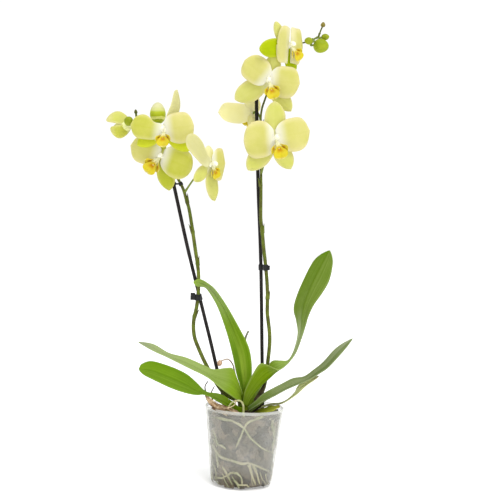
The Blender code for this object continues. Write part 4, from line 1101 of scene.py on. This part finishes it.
stemLines = {
    "left": {
        "node": "flower_stem_left",
        "line": [(-5, 3, 124), (-22, 4, 129), (-35, 4, 138), (-48, 4, 155), (-64, 3, 182), (-75, 2, 204),
                 (-81, 1, 219), (-83.4, 1, 234), (-83, 1, 248), (-80.3, 1, 263), (-78.5, 1, 284),
                 (-78.8, 1, 307), (-80.5, 1, 325), (-85.7, 0, 352), (-91.4, 0, 382), (-97.9, 0, 413),
                 (-102.9, 0, 428), (-108, 0, 443), (-114.5, 2, 455), (-129, 4, 478), (-146, 6, 506),
                 (-164, 6, 531), (-178, 5, 545), (-185, 3, 552), (-186, 2, 558)],
        "joints": [(251, 1), (331, 1), (380, -1), (425, 1)], "tip": (-1, 0, 5, 5.0, "stemGreen")},
    "right": {
        "node": "flower_stem_right",
        "line": [(9, 5, 123), (18, 13, 129), (27, 14, 140), (31, 14, 160), (32.8, 12, 185), (34.2, 9, 211),
                 (33.4, 7, 229), (31.2, 6, 244), (28.6, 6, 260), (28, 5, 274), (27.4, 5, 290),
                 (25.4, 5, 312), (22, 5, 337), (18.8, 5, 357), (14.9, 5, 386), (12, 5, 404), (11.2, 5, 422),
                 (10.4, 5, 449), (9, 6, 479), (7, 8, 526), (5, 8, 557), (6, 8, 573), (10, 9, 588),
                 (17, 12, 611), (25, 14, 638), (36, 14, 660), (53, 12, 674), (69, 8, 679), (81, 4, 683),
                 (87, 2, 687), (90, 1, 695), (93, 0, 703)],
        "joints": [(284, 1), (385, 1), (455, -1), (545, 1)], "tip": (1, 0, 6, 7.0, "budTip")},
}
stemLook = {"radius": 2.85, "steps": 220, "twig": 1.45, "stick": 2.75,
            "taper": [(120, 1.05), (300, 1.0), (420, 0.9), (470, 0.7), (700, 0.4)],
            "footSheath": [(10, 4, 118), (17, 8, 126), (23, 12, 135), (27, 14, 144), (29.5, 14, 156)]}
bractLook = {"length": 15.0, "below": 2.5, "radius": 3.2, "flare": 1.3, "wrap": 2.9, "thick": 0.5}
stickLines = {"left": [(-125, 4, 456), (-98.2, 8, 355), (-71.3, 11.3, 262), (-50.5, 14, 190), (-7, 20, 30)],
              "right": [(-4, 10, 604), (5.1, 14, 463), (13.8, 17, 357), (19, 19.3, 275), (23.6, 21.5, 195),
                        (33, 26, 30)]}
branches = {"left.1": 439, "left.2": 474, "left.3": 507, "right.1": 474, "right.2": 556, "right.3": 603,
            "right.4": 665}

# blooms: middle, where each looks (degrees right, degrees up), the lip's tip, and petals and sepals as
# (across, up, width, turn, bow, notch at one side, full at the base) from the middle

blooms = {
    "right.1": {
        "middle": (28, -34, 524), "looks": (14, -8), "lip": (6, -30),
        "petals": [(-47, -8, 56), (51, 15, 51)],
        "finish": ("petalPale", "petalPale", "sepalPale", "sepalPale"),
        "sepals": [(-2, 54, 33), (-38, -50, 33), (27, -44, 29)]},
    "right.2": {
        "middle": (-7, 26, 569), "looks": (-150, -8), "lip": (-3, -15), "lipSize": 0.6,
        "petals": [(-53, -6, 33), (4, 23, 22)],
        # all its parts take the pale cream with painted light, as they lie in the shade of the blooms above
        "finish": ("petalCreamPaintedLight", "petalCreamPaintedLight", "petalCreamPaintedLight", "petalCreamPaintedLight"),
        "sepals": [(-13, 40, 30), (-9, -21, 14), (3, -20, 12)]},
    "right.3": {
        "middle": (14, -26, 611), "looks": (6, -12), "lip": (8, -26), "lipSize": 0.9,
        "petals": [(-37, 27, 42), (47, -1, 48)],
        "finish": ("petalPale", "petalPale", "sepalPale", "sepalPale"),
        "sepals": [(9, 38, 26), (-49, -31, 33), (37, -43, 26)]},
    "right.4": {
        "middle": (43, -24, 665), "looks": (38, -6), "lip": (10, -21), "lipSize": 0.8, "lipReach": 0.75,
        "petals": [(-19, -1, 55, 0, 0, 0, 0.9), (20, 3, 54, 0, 0, 0, 0.95)],
        "finish": ("petalEven", "petalEven", "sepalPale", "sepalLime"),
        "sepals": [(-21, 30, 17, -15, 3), (-42, -14, 28), (12, -40, 24)]},
    "left.1": {
        "middle": (-67, -16, 482), "looks": (48, -6), "lip": (6, -22), "lipSize": 0.75, "lipReach": 0.4,
        "petals": [(-34, 38, 29, 0, 1, 0.6), (20, 5, 50)],
        "finish": ("sepalCream", "petalPale", "petalCreamPaintedLight", "sepalPale"),
        "sepals": [(-1, 28, 20), (-20, -27, 20, 10), (11, -54, 27)]},
    "left.2": {
        "middle": (-143, -13, 492), "looks": (-14, -12), "lip": (-19, -27),
        "petals": [(-48, 15, 43), (48, -18, 48)],
        "finish": ("petalPale", "petalGreen", "sepalGreen", "sepalGreen"),
        "sepals": [(-10, 33, 24), (-18, -24, 20), (12, -52, 29)]},
    "left.3": {
        "middle": (-139, -34, 529), "looks": (-4, -4), "lip": (3, -25), "lipSize": 0.85,
        "petals": [(-50, 6, 38, 0, 0, 0.5), (45, 8, 47)],
        # its lower sepals take the lime copy with painted light, as they lie in shade
        "finish": ("petalGreen", "petalPale", "sepalCream", "sepalLimePaintedLight"),
        "sepals": [(21, 59, 20, 50, -9), (-40, -24, 24), (40, -29, 24)]},
}
petalLook = {
    "thick": 0.8, "rows": 18, "columns": 14, "cup": 2.5, "fall": 3.0, "layer": 1.4, "ruffle": 0.8,
    "outline": [(0, 0.45), (0.06, 0.64), (0.15, 0.80), (0.28, 0.93), (0.42, 0.99), (0.56, 1.0),
                (0.70, 0.965), (0.82, 0.86), (0.91, 0.67), (0.96, 0.47), (0.988, 0.27), (1, 0.05)]}
sepalLook = {
    "thick": 0.8, "rows": 16, "columns": 10, "cup": 1.0, "fall": 2.0, "layer": -4.0, "ruffle": 0.3,
    "outline": [(0, 0.40), (0.12, 0.66), (0.28, 0.88), (0.46, 1.0), (0.6, 0.985), (0.75, 0.87),
                (0.87, 0.66), (0.94, 0.45), (0.98, 0.26), (1, 0.05)]}
hubSize = {"radius": 4.0, "front": 1.1}

# the lip past its root as (share, forward, up, half width), its wing as (share, across, forward, up, half
# width), and the column's line (forward, up) and radii
lipRows = [(0.32, 10, -12.0, 3.8), (0.48, 13.4, -16.0, 7.4), (0.64, 15.0, -20.5, 10.8),
           (0.79, 14.9, -25.0, 10.6), (0.90, 13.8, -28.2, 7.8), (0.97, 12.7, -30.2, 4.2),
           (1, 12.2, -30.9, 1.2)]
wingRows = [(0, 1.5, 5.0, -7.5, 1.6), (0.4, 5.6, 9.6, -13.0, 3.8), (0.75, 10.2, 13.2, -16.0, 5.2),
            (0.93, 12.8, 15.0, -16.6, 3.8), (1, 13.6, 15.4, -16.6, 1.5)]
columnLine = [(2.6, 1.2), (4.4, 1.8), (9, 3.4), (14.2, 0.8)]
columnRadii = [(0, 2.3), (0.3, 2.7), (0.66, 3.3), (0.86, 3.0), (0.96, 2.0), (1, 0.7)]


def lookOf(bloom):
    right, up = (math.radians(a) for a in bloom["looks"])
    return Vector((math.sin(right) * math.cos(up), -math.cos(right) * math.cos(up), math.sin(up)))


def tipOf(bloom, across, up):  # the tip lies in the bloom's own plane
    facing = lookOf(bloom)
    depth = (-across * facing.x - up * facing.z) / facing.y
    return Vector(bloom["middle"]) + Vector((across, depth, up))


def bloomAxes(bloom):
    forward = lookOf(bloom)
    down = tipOf(bloom, *bloom["lip"]) - Vector(bloom["middle"])
    up = -(down - forward * down.dot(forward)).normalized()
    return forward.cross(up), forward, up


def inBloom(bloom, x, y, z):
    across, forward, up = bloomAxes(bloom)
    return Vector(bloom["middle"]) + across * x + forward * y + up * z


def tepalPoint(bloom, tip, look, seed, u, v):
    v = math.sin(math.pi / 2 * v)  # closer rows towards the round tip
    across, up, wide, turn, bow, notch, full = tip + (0, 0, 0, 0)[len(tip) - 3:]
    middle = Vector(bloom["middle"])
    far = tipOf(bloom, across, up) - middle
    along, length = far.normalized(), far.length
    normal = lookOf(bloom)
    normal = (normal - along * normal.dot(along)).normalized()
    out = Matrix.Rotation(math.radians(turn) * min(1, v * 2.5), 3, along) @ normal
    side = out.cross(along)
    s = 2 * u - 1
    half = wide / 2 * (1 - (1 - readTable(look["outline"], v)) * (1 - full * min(1, max(0, 1.4 - 2 * v))))
    if s < 0:
        half *= 1 - notch * math.exp(-((v - 0.25) / 0.22) ** 2)
    rise = look["layer"] * (0.2 + 0.8 * min(1, v * 3)) + look["cup"] * math.sin(math.pi * v)
    rise -= look["fall"] * s * s * min(1, v * 2)
    rise -= 0.5 * math.exp(-(s / 0.16) ** 2) * math.sin(math.pi * v)  # the crease down the middle
    rise += look["ruffle"] * math.sin(v * 9 + seed + 2.2 * s) * abs(s) ** 3 * min(1, v * 3)
    rise -= 8 * max(0, v - 0.7) ** 2
    lobe = 1 + 0.03 * math.sin(7 * v + seed * 1.7) * (1 if s > 0 else -1)
    return (middle + along * (1.5 + (length - 1.5) * v - 0.06 * length * s * s * max(0, v - 0.6))
            + side * (half * s * lobe + bow * math.sin(math.pi * v)) + out * rise)


def lipPoint(bloom, rows, size, u, v):
    y, z, half = (readTable([(r[0], r[k]) for r in rows], v) for k in (1, 2, 3))
    s = 2 * u - 1
    rise = y + 3.4 * abs(s) ** 1.6 * min(1, v * 2) - 0.5 * math.exp(-(s / 0.2) ** 2)
    if v > 0.12:  # past its root, where it meets the hub
        rise, z = rise * bloom.get("lipReach", 1), z * size
    return inBloom(bloom, s * half * size, rise, z)


def wingPoint(bloom, side, size, u, v):
    x, y, z, half = (readTable([(r[0], r[k]) for r in wingRows], v) for k in (1, 2, 3, 4))
    s = 2 * u - 1
    bend = 1.8 * (1 - s * s) * math.sin(math.pi * v)
    forward = (y + 0.35 * half * s) * bloom.get("lipReach", 1)
    return inBloom(bloom, side * (x + bend) * size, forward, (z + half * s) * size)


def makeTepal(bloom, tip, look, seed, finish):
    return makeSheet("tepal", look["columns"], look["rows"],
                     lambda u, v: tepalPoint(bloom, tip, look, seed, u, v), look["thick"], finish)


def makeTepals(bloom):  # on a small round hub
    leftFinish, rightFinish, topFinish, lowFinish = bloom["finish"]
    deselectAll()
    turn = lookOf(bloom).to_track_quat("Z", "Y").to_euler()
    bpy.ops.mesh.primitive_cylinder_add(vertices=24, radius=hubSize["radius"] * mm,
                                        depth=2 * hubSize["front"] * mm,
                                        location=Vector(bloom["middle"]) * mm, rotation=turn)
    hub = bpy.context.object
    roundEdges(hub, 0.8, 3)
    coat(hub, "columnWhite")
    parts = [applyAll(hub)]
    for k, tip in enumerate(bloom["sepals"]):
        parts.append(makeTepal(bloom, tip, sepalLook, k * 2.1, lowFinish if k else topFinish))
    for k, tip in enumerate(bloom["petals"]):
        parts.append(makeTepal(bloom, tip, petalLook, k * 3.3 + 1, rightFinish if k else leftFinish))
    return parts


def makeLip(bloom):
    size, reach = bloom.get("lipSize", 1.0), bloom.get("lipReach", 1)
    rows = [(0, hubSize["front"] + 0.85, -2.6, 1.6), (0.12, 4.5, -5 * size, 2.2), *lipRows]
    parts = [makeSheet("lip", 12, 20, lambda u, v: lipPoint(bloom, rows, size, u, v), 1.2, "lipYellow")]
    for side in (-1, 1):
        parts.append(makeSheet("lipWing", 10, 12, lambda u, v: wingPoint(bloom, side, size, u, v), 1.0,
                               "lipYellow"))
    callus = inBloom(bloom, 0, 12.6 * reach, -14.0 * size)
    parts.append(makeBall(2.1 * size, callus, (1.1, 0.8, 0.9), "lipYellow"))
    return parts


def makeColumn(bloom):  # with a round cap at its end
    line = smoothLine([inBloom(bloom, 0, y, z) for y, z in columnLine], 24)
    radii = [readTable(columnRadii, k / 23) for k in range(24)]
    return [makeTube("column", line, radii, "columnWhite", 4),
            makeBall(1.8, inBloom(bloom, 0, 13.0, 1.6), (1.0, 0.8, 0.8), "columnWhite")]


def makeBloom(name, bloom):
    key = name.replace(".", "_")
    settle(joinPieces(makeTepals(bloom), f"bloom.{name}.tepals"), [f"bloom_{key}_petals"])
    settle(joinPieces(makeLip(bloom), f"bloom.{name}.lip"), [f"bloom_{key}_lip"])
    settle(joinPieces(makeColumn(bloom), f"bloom.{name}.column"), [f"bloom_{key}_column"])


for name, bloom in blooms.items():
    makeBloom(name, bloom)
print("blooms done")


# buds

buds = {
    "left.large": {"base": (-151, -5, 541), "tip": (-152, -13, 573), "width": 24, "place": 527,
                   "finish": "budSlit"},
    "left.small": {"base": (-188, -20, 540), "tip": (-199, -27, 542), "width": 14.5, "place": 549,
                   "finish": "budDark"},
    "right.near": {"base": (77, -12, 676), "tip": (66, -19, 675), "width": 11, "place": 681.5,
                   "finish": "budDark"},
    "right.large": {"base": (80, 0, 673), "tip": (103.5, -3, 671), "width": 21.5, "place": 685.3,
                    "finish": "budGreen"},
    "right.far": {"base": (92, 3, 686), "tip": (104, 4, 688), "width": 10, "place": 691.3,
                  "finish": "budDark"},
}
opening = {
    "base": (-191, -4, 536), "place": 538.7,
    "sepals": [
        ((-229, -9, 545), 24, (0, -1, 0.6), (0, -2.5, 8.5), "sepalPale"),
        ((-222, -10, 528.5), 22, (0, -1, -0.6), (0, -3, -7.5), "petalGreen"),
        ((-219, 6, 534), 18, (0, 1, 0), (0, 12, 0), "sepalPale"),
    ],
}


def makeBud(name, base, tip, width, finish, blunt=0.12):  # an egg with three seams
    base, tip = Vector(base), Vector(tip)
    along = tip - base
    deselectAll()
    bpy.ops.mesh.primitive_uv_sphere_add(segments=36, ring_count=22, radius=1)
    bud = bpy.context.object
    bud.name = name
    turn = along.to_track_quat("Z", "Y").to_matrix()
    for corner in bud.data.vertices:
        share = (corner.co.z + 1) / 2
        angle = math.atan2(corner.co.y, corner.co.x)
        ring = math.hypot(corner.co.x, corner.co.y)
        seam = 1 - 0.06 * math.exp(-((math.sin(1.5 * angle)) / 0.2) ** 2) * math.sin(math.pi * share)
        radius = width / 2 * ring * (1 + blunt * (1 - 2 * share)) * seam
        local = Vector((radius * math.cos(angle), radius * math.sin(angle), along.length * share))
        corner.co = (base + turn @ local) * mm
    coat(bud, finish)
    return applyAll(bud)


def openingPoint(root, tip, width, face, bulge, u, v):
    along = (Vector(tip) - root).normalized()
    length = (Vector(tip) - root).length
    side = Vector(face).cross(along).normalized()
    out = along.cross(side)
    s = 2 * u - 1
    half = width / 2 * readTable(sepalLook["outline"], v)
    return (root + along * length * v + side * half * s - out * 3 * s * s * min(1, v * 3)
            + Vector(bulge) * max(0.0, math.sin(math.pi * v)) ** 0.8)


def makeBuds():
    for name, bud in buds.items():
        egg = makeBud(f"bud.{name}", bud["base"], bud["tip"], bud["width"], bud["finish"])
        settle(egg, [f"bud_{name.replace('.', '_')}"])
    base = Vector(opening["base"])
    parts = [makeBud("heart", base, base + Vector((-25, -1, 0)), 15, "budPale", 0.35)]
    root = base + Vector((-1, 0, 1))
    for tip, width, face, bulge, finish in opening["sepals"]:
        parts.append(makeSheet("openSepal", 12, 18,
                               lambda u, v: openingPoint(root, tip, width, face, bulge, u, v), 0.9, finish))
    settle(joinPieces(parts, "bloom.opening"), ["flower_opening"])


makeBuds()
print("buds done")


def makeStalk(route, place, inner, outer, endRadius):
    start = pathAt(route, place)
    mid = start.lerp(inner, 0.5) + Vector((0, 0, 3))
    line = smoothLine([start, mid, inner, outer], 26)
    twig = stemLook["twig"]
    swell = [(0, twig * 1.5), (0.1, twig * 1.05), (0.5, twig), (0.8, twig * 1.15), (1, endRadius)]
    radii = [readTable(swell, k / 25) for k in range(26)]
    return makeTube("stalk", line, radii, "stemLight", 3)


def makeStemLine(stem):  # a little thicker at each joint
    line = smoothLine(stem["line"], stemLook["steps"])
    radii = []
    for point in line:
        radius = stemLook["radius"] * readTable(stemLook["taper"], point.z)
        for height, _ in stem["joints"]:
            radius *= 1 + 0.22 * math.exp(-((point.z - height) / 2.2) ** 2)
        radii.append(radius)
    return makeTube("stem", line, radii, "stemGreen", 4)


def makeBract(route, height, side):  # papery, it hugs the joint at this height
    place = shareAt(route, height)
    at = pathAt(route, place)
    up = (pathAt(route, place + 0.03) - at).normalized()
    out = Vector((side, -0.2, 0))
    out = (out - up * out.dot(up)).normalized()
    across = up.cross(out)

    def bractPoint(u, v):
        angle = (u - 0.5) * bractLook["wrap"] * (1 - 0.55 * v)
        radius = bractLook["radius"] + bractLook["flare"] * v
        wide = math.sqrt(max(0.0, 1 - v ** 3))
        return (at - up * bractLook["below"] + up * (bractLook["length"] * v)
                + out * radius * math.cos(angle * wide)
                + across * radius * math.sin(angle * wide) * (1 - 0.3 * v))

    return makeSheet("bract", 8, 8, bractPoint, bractLook["thick"], "stemGreen")


def makeStalks(route, sideName):  # one to each bloom and bud on this stem
    stalks = []
    for name, bloom in blooms.items():
        if name.startswith(sideName):
            middle, forward = Vector(bloom["middle"]), lookOf(bloom)
            place = shareAt(route, branches[name])
            stalks.append(makeStalk(route, place, middle - forward * 9, middle - forward * hubSize["front"],
                                    2.1))
    for name, bud in buds.items():
        if name.startswith(sideName):
            base, tip = Vector(bud["base"]), Vector(bud["tip"])
            along = (tip - base).normalized()
            place = shareAt(route, bud["place"])
            stalks.append(makeStalk(route, place, base - along * 4, base + along * 0.5, 1.5))
    if sideName == "left":
        base = Vector(opening["base"])
        place = shareAt(route, opening["place"])
        stalks.append(makeStalk(route, place, base + Vector((5, 0, 0.5)), base - Vector((0.5, 0, 0)), 1.7))
    return stalks


def makeStick(sideName):
    steps = 61
    line = smoothLine(stickLines[sideName][::-1], steps)
    radii = [stemLook["stick"] * min(1, (steps - 0.6 - k) / 0.8) ** 0.5 for k in range(steps)]
    rod = makeTube(f"stick.{sideName}", line, radii, "stickBlack", 4)
    settle(rod, [f"stick_{sideName}"])


def makeStems():
    for sideName, stem in stemLines.items():
        route = stem["line"]
        parts = [makeStemLine(stem)]
        if sideName == "right":  # its foot keeps a dark dry sheath
            foot = smoothLine(stemLook["footSheath"], 24)
            parts.append(makeTube("footSheath", foot, [5.0 - 0.07 * k for k in range(24)], "sheathDark", 3))
        for height, side in stem["joints"]:
            parts.append(makeBract(route, height, side))
        parts += makeStalks(route, sideName)
        x, y, z, width, finish = stem["tip"]
        end = Vector(route[-1])
        parts.append(makeBud("tipBud", end - Vector((0, 0, 2)), end + Vector((x, y, z)), width, finish,
                             0.3))
        settle(joinPieces(parts, f"flowerStem.{sideName}"), [stem["node"]])
        makeStick(sideName)


makeStems()
print("stems done")

clips = {
    "clip_left_middle": {"stem": "left", "height": 280, "tall": 4.5, "tab": -8, "grip": 5.2},
    "clip_left_top": {"stem": "left", "height": 452, "tall": 2.5, "tab": 0, "grip": 3.4},
    "clip_right": {"stem": "right", "height": 330, "tall": 4.5, "tab": 3, "grip": 4.1},
}
clipLook = {"wall": 1.1, "stickInner": 2.8, "stickOuter": 4.0, "bridge": (2.6, 2.2), "tabThick": 2.6,
            "handle": (11.0, 5.0)}


def makeRing(at, up, inner, outer, tall):  # a short sleeve round a stem or stick
    deselectAll()
    bpy.ops.mesh.primitive_cylinder_add(vertices=32, radius=outer * mm, depth=2 * tall * mm,
                                        location=at * mm,
                                        rotation=up.to_track_quat("Z", "Y").to_euler())
    ring = bpy.context.object
    bpy.ops.object.mode_set(mode="EDIT")
    bpy.ops.mesh.select_mode(type="FACE")
    bpy.ops.mesh.select_all(action="DESELECT")
    bpy.ops.object.mode_set(mode="OBJECT")
    for face in ring.data.polygons:
        face.select = abs(face.normal.z) > 0.9
    bpy.ops.object.mode_set(mode="EDIT")
    bpy.ops.mesh.inset(thickness=(outer - inner) * mm)
    bpy.ops.mesh.bridge_edge_loops()
    bpy.ops.object.mode_set(mode="OBJECT")
    roundEdges(ring, 0.3, 2)
    coat(ring, "clipBlack")
    return applyAll(ring)


def nearest(knots, height):
    share = shareAt(knots, height)
    up = (pathAt(knots, share + 0.008) - pathAt(knots, share - 0.008)).normalized()
    return pathAt(knots, share), (up if up.z > 0 else -up)


def makeBar(start, end, wide, thick):
    deselectAll()
    middle, run = (start + end) / 2, end - start
    bpy.ops.mesh.primitive_cube_add(size=1, location=middle * mm,
                                    rotation=run.to_track_quat("X", "Z").to_euler())
    bar = bpy.context.object
    bar.scale = (run.length * mm, thick * mm, wide * mm)
    bpy.ops.object.transform_apply(location=False, rotation=False, scale=True)
    roundEdges(bar, 0.5, 3)
    coat(bar, "clipBlack")
    return applyAll(bar)


def makeClips():
    for name, clip in clips.items():
        atStem, up = nearest(stemLines[clip["stem"]]["line"], clip["height"])
        atStick, stickUp = nearest(stickLines[clip["stem"]], clip["height"])
        parts = [makeRing(atStem, up, clip["grip"] - clipLook["wall"], clip["grip"], clip["tall"]),
                 makeRing(atStick, stickUp, clipLook["stickInner"], clipLook["stickOuter"], clip["tall"])]
        run = (atStick - atStem).normalized()
        if (atStick - atStem).length > 8:
            parts.append(makeBar(atStem + run * 3.2, atStick - run * 3.0, *clipLook["bridge"]))
        if clip["tab"]:
            out = Vector((math.copysign(1, clip["tab"]), -0.3, 0)).normalized()
            end = atStem + out * (3.4 + abs(clip["tab"]))
            parts.append(makeBar(atStem + out * 3.0, end, clip["tall"] * 1.6, clipLook["tabThick"]))
            if abs(clip["tab"]) > 5:  # a handle at its end
                parts.append(makeBar(end - out * 6.5 + up * 1.5, end + up * 1.5, *clipLook["handle"]))
        settle(joinPieces(parts, name.replace("_", ".")), [name])


makeClips()
print("clips done")


# dried sheaths over the rim at the left: papery strips, each (line, width, turn along it, finish)

sheathStrips = [
    ([(-57, -37, 136), (-51, -38, 129), (-40, -38, 120), (-26, -35, 111), (-14, -25, 107), (-1, -6, 105)],
     7.5, (0, 0.4), "sheathTan"),
    ([(-53, -33, 126), (-45, -37, 122.5), (-37, -40, 120), (-26, -41, 119.5), (-18, -40, 122.5),
      (-13, -37, 128.5), (-14, -34, 132)], 3.4, (0.9, 2.2), "sheathTan"),
    ([(-60, -20, 141), (-58, -26, 134), (-54, -31, 127), (-48, -35, 122), (-42, -37, 119)], 3.2,
     (0.4, -0.5), "sheathBrown"),
    ([(-55, -35, 132), (-49, -39, 126.5), (-42, -41, 122), (-33, -42, 118.5)], 2.6, (-0.4, 0.5),
     "sheathTan"),
    ([(-52, -26, 128), (-41, -31, 123), (-31, -34, 121), (-21, -33, 118), (-12, -30, 113)], 4.4, (0.2, 1.4),
     "sheathTan"),
    ([(-50, -38, 119.5), (-40, -44, 117), (-29, -47, 115.5), (-18, -46, 114), (-9, -43, 112)], 3.0,
     (0.5, -0.3), "sheathBrown"),
    ([(-35, -30, 118), (-26, -36, 118), (-16, -38, 116.5), (-7, -36, 113)], 5.0, (1.2, 0.2), "sheathTan"),
]
twigs = [[(-56, -22, 130), (-60, -14, 140), (-61, -8, 147), (-57, -5, 154)],
         [(-48, -20, 126), (-51, -12, 137), (-47, -8, 147)]]


def stripPoint(line, width, turns, number, u, v):
    at = pathAt(line, v)
    along = (pathAt(line, min(1, v + 0.02)) - pathAt(line, max(0, v - 0.02))).normalized()
    across = along.cross(Vector((0.1, -1, 0.25))).normalized()
    across = Matrix.Rotation(turns[0] + (turns[1] - turns[0]) * v, 3, along) @ across
    crumple = noise.noise(Vector((u * 2.5 + number * 7, v * 8, 1.5)))
    half = width / 2 * min(1, 6 * v + 0.25, 4 * (1 - v) + 0.2) * (1 + 0.25 * crumple)
    s = 2 * u - 1
    bow = along.cross(across) * (0.25 * width * (1 - s ** 2) + 0.9 * crumple)
    return at + across * half * s + bow


def makeSheaths():
    parts = []
    for number, (line, width, turns, finish) in enumerate(sheathStrips):
        parts.append(makeSheet("strip", 8, 34, lambda u, v: stripPoint(line, width, turns, number, u, v),
                               0.45, finish))
    radii = [1.25 - 0.03 * k for k in range(20)]
    for line in twigs:
        parts.append(makeTube("twig", smoothLine(line, 20), radii, "sheathDark", 2))
    settle(joinPieces(parts, "driedSheath"), ["dried_sheath"])


makeSheaths()
print("sheaths done")


# floor, light and camera

studio = {"lens": 66.0, "camera": (-0.0024, -1.4, 0.356), "roll": -2.6, "floor": 60.0, "floorTop": -0.0005,
          "fill": 0.86, "backdrop": 1.05, "glow": 0.28, "key": 1.65, "keyPlace": (0.9, -1.5, 2.0),
          "keyAim": (-0.4, 0.85, -1.3), "keySpread": 28.0}


def makeFloor():
    deselectAll()
    bpy.ops.mesh.primitive_plane_add(size=studio["floor"], location=(0, 0, studio["floorTop"]))
    floor = bpy.context.object
    floor.name = "floor"
    tree, shader = startMaterial("floorWhite", 0.6, Specular_IOR_Level=0.2)
    clouds = patchesOf(tree, (0.90, 0.90, 0.90), (0.93, 0.93, 0.93), 3.0, 0.1)
    feed(tree, shader.inputs["Base Color"], clouds["Colour"])
    shader.inputs["Emission Color"].default_value = (1, 1, 1, 1)
    shader.inputs["Emission Strength"].default_value = studio["glow"]
    coat(floor, "floorWhite")


def makeWorld():  # the camera sees a brighter white than the one that lights the plant
    world = bpy.data.worlds.new("studioWorld")
    bpy.context.scene.world = world
    world.use_nodes = True
    tree = world.node_tree
    plain = tree.nodes["Background"]
    plain.inputs["Color"].default_value = (1, 1, 1, 1)
    plain.inputs["Strength"].default_value = studio["fill"]
    bright = tree.nodes.new("ShaderNodeBackground")
    bright.inputs["Color"].default_value = (1, 1, 1, 1)
    bright.inputs["Strength"].default_value = studio["backdrop"]
    path = tree.nodes.new("ShaderNodeLightPath")
    mix = tree.nodes.new("ShaderNodeMixShader")
    feed(tree, mix.inputs[0], path.outputs["Is Camera Ray"])
    feed(tree, mix.inputs[1], plain.outputs[0])
    feed(tree, mix.inputs[2], bright.outputs[0])
    feed(tree, tree.nodes["World Output"].inputs["Surface"], mix.outputs[0])


def makeLight():
    deselectAll()
    turn = Vector(studio["keyAim"]).to_track_quat("-Z", "Y").to_euler()
    bpy.ops.object.light_add(type="SUN", location=studio["keyPlace"], rotation=turn)
    key = bpy.context.object
    key.name = "keyLight"
    key.data.energy = studio["key"]
    key.data.angle = math.radians(studio["keySpread"])


def makeCamera():
    deselectAll()
    turn = (math.radians(90), math.radians(studio["roll"]), 0)
    bpy.ops.object.camera_add(location=studio["camera"], rotation=turn)
    camera = bpy.context.object
    camera.name = "camera"
    camera.data.lens = studio["lens"]
    camera.data.sensor_width = 36
    bpy.context.scene.camera = camera
    bpy.context.scene.view_settings.view_transform = "Standard"


makeFloor()
makeWorld()
makeLight()
makeCamera()
print("studio done")
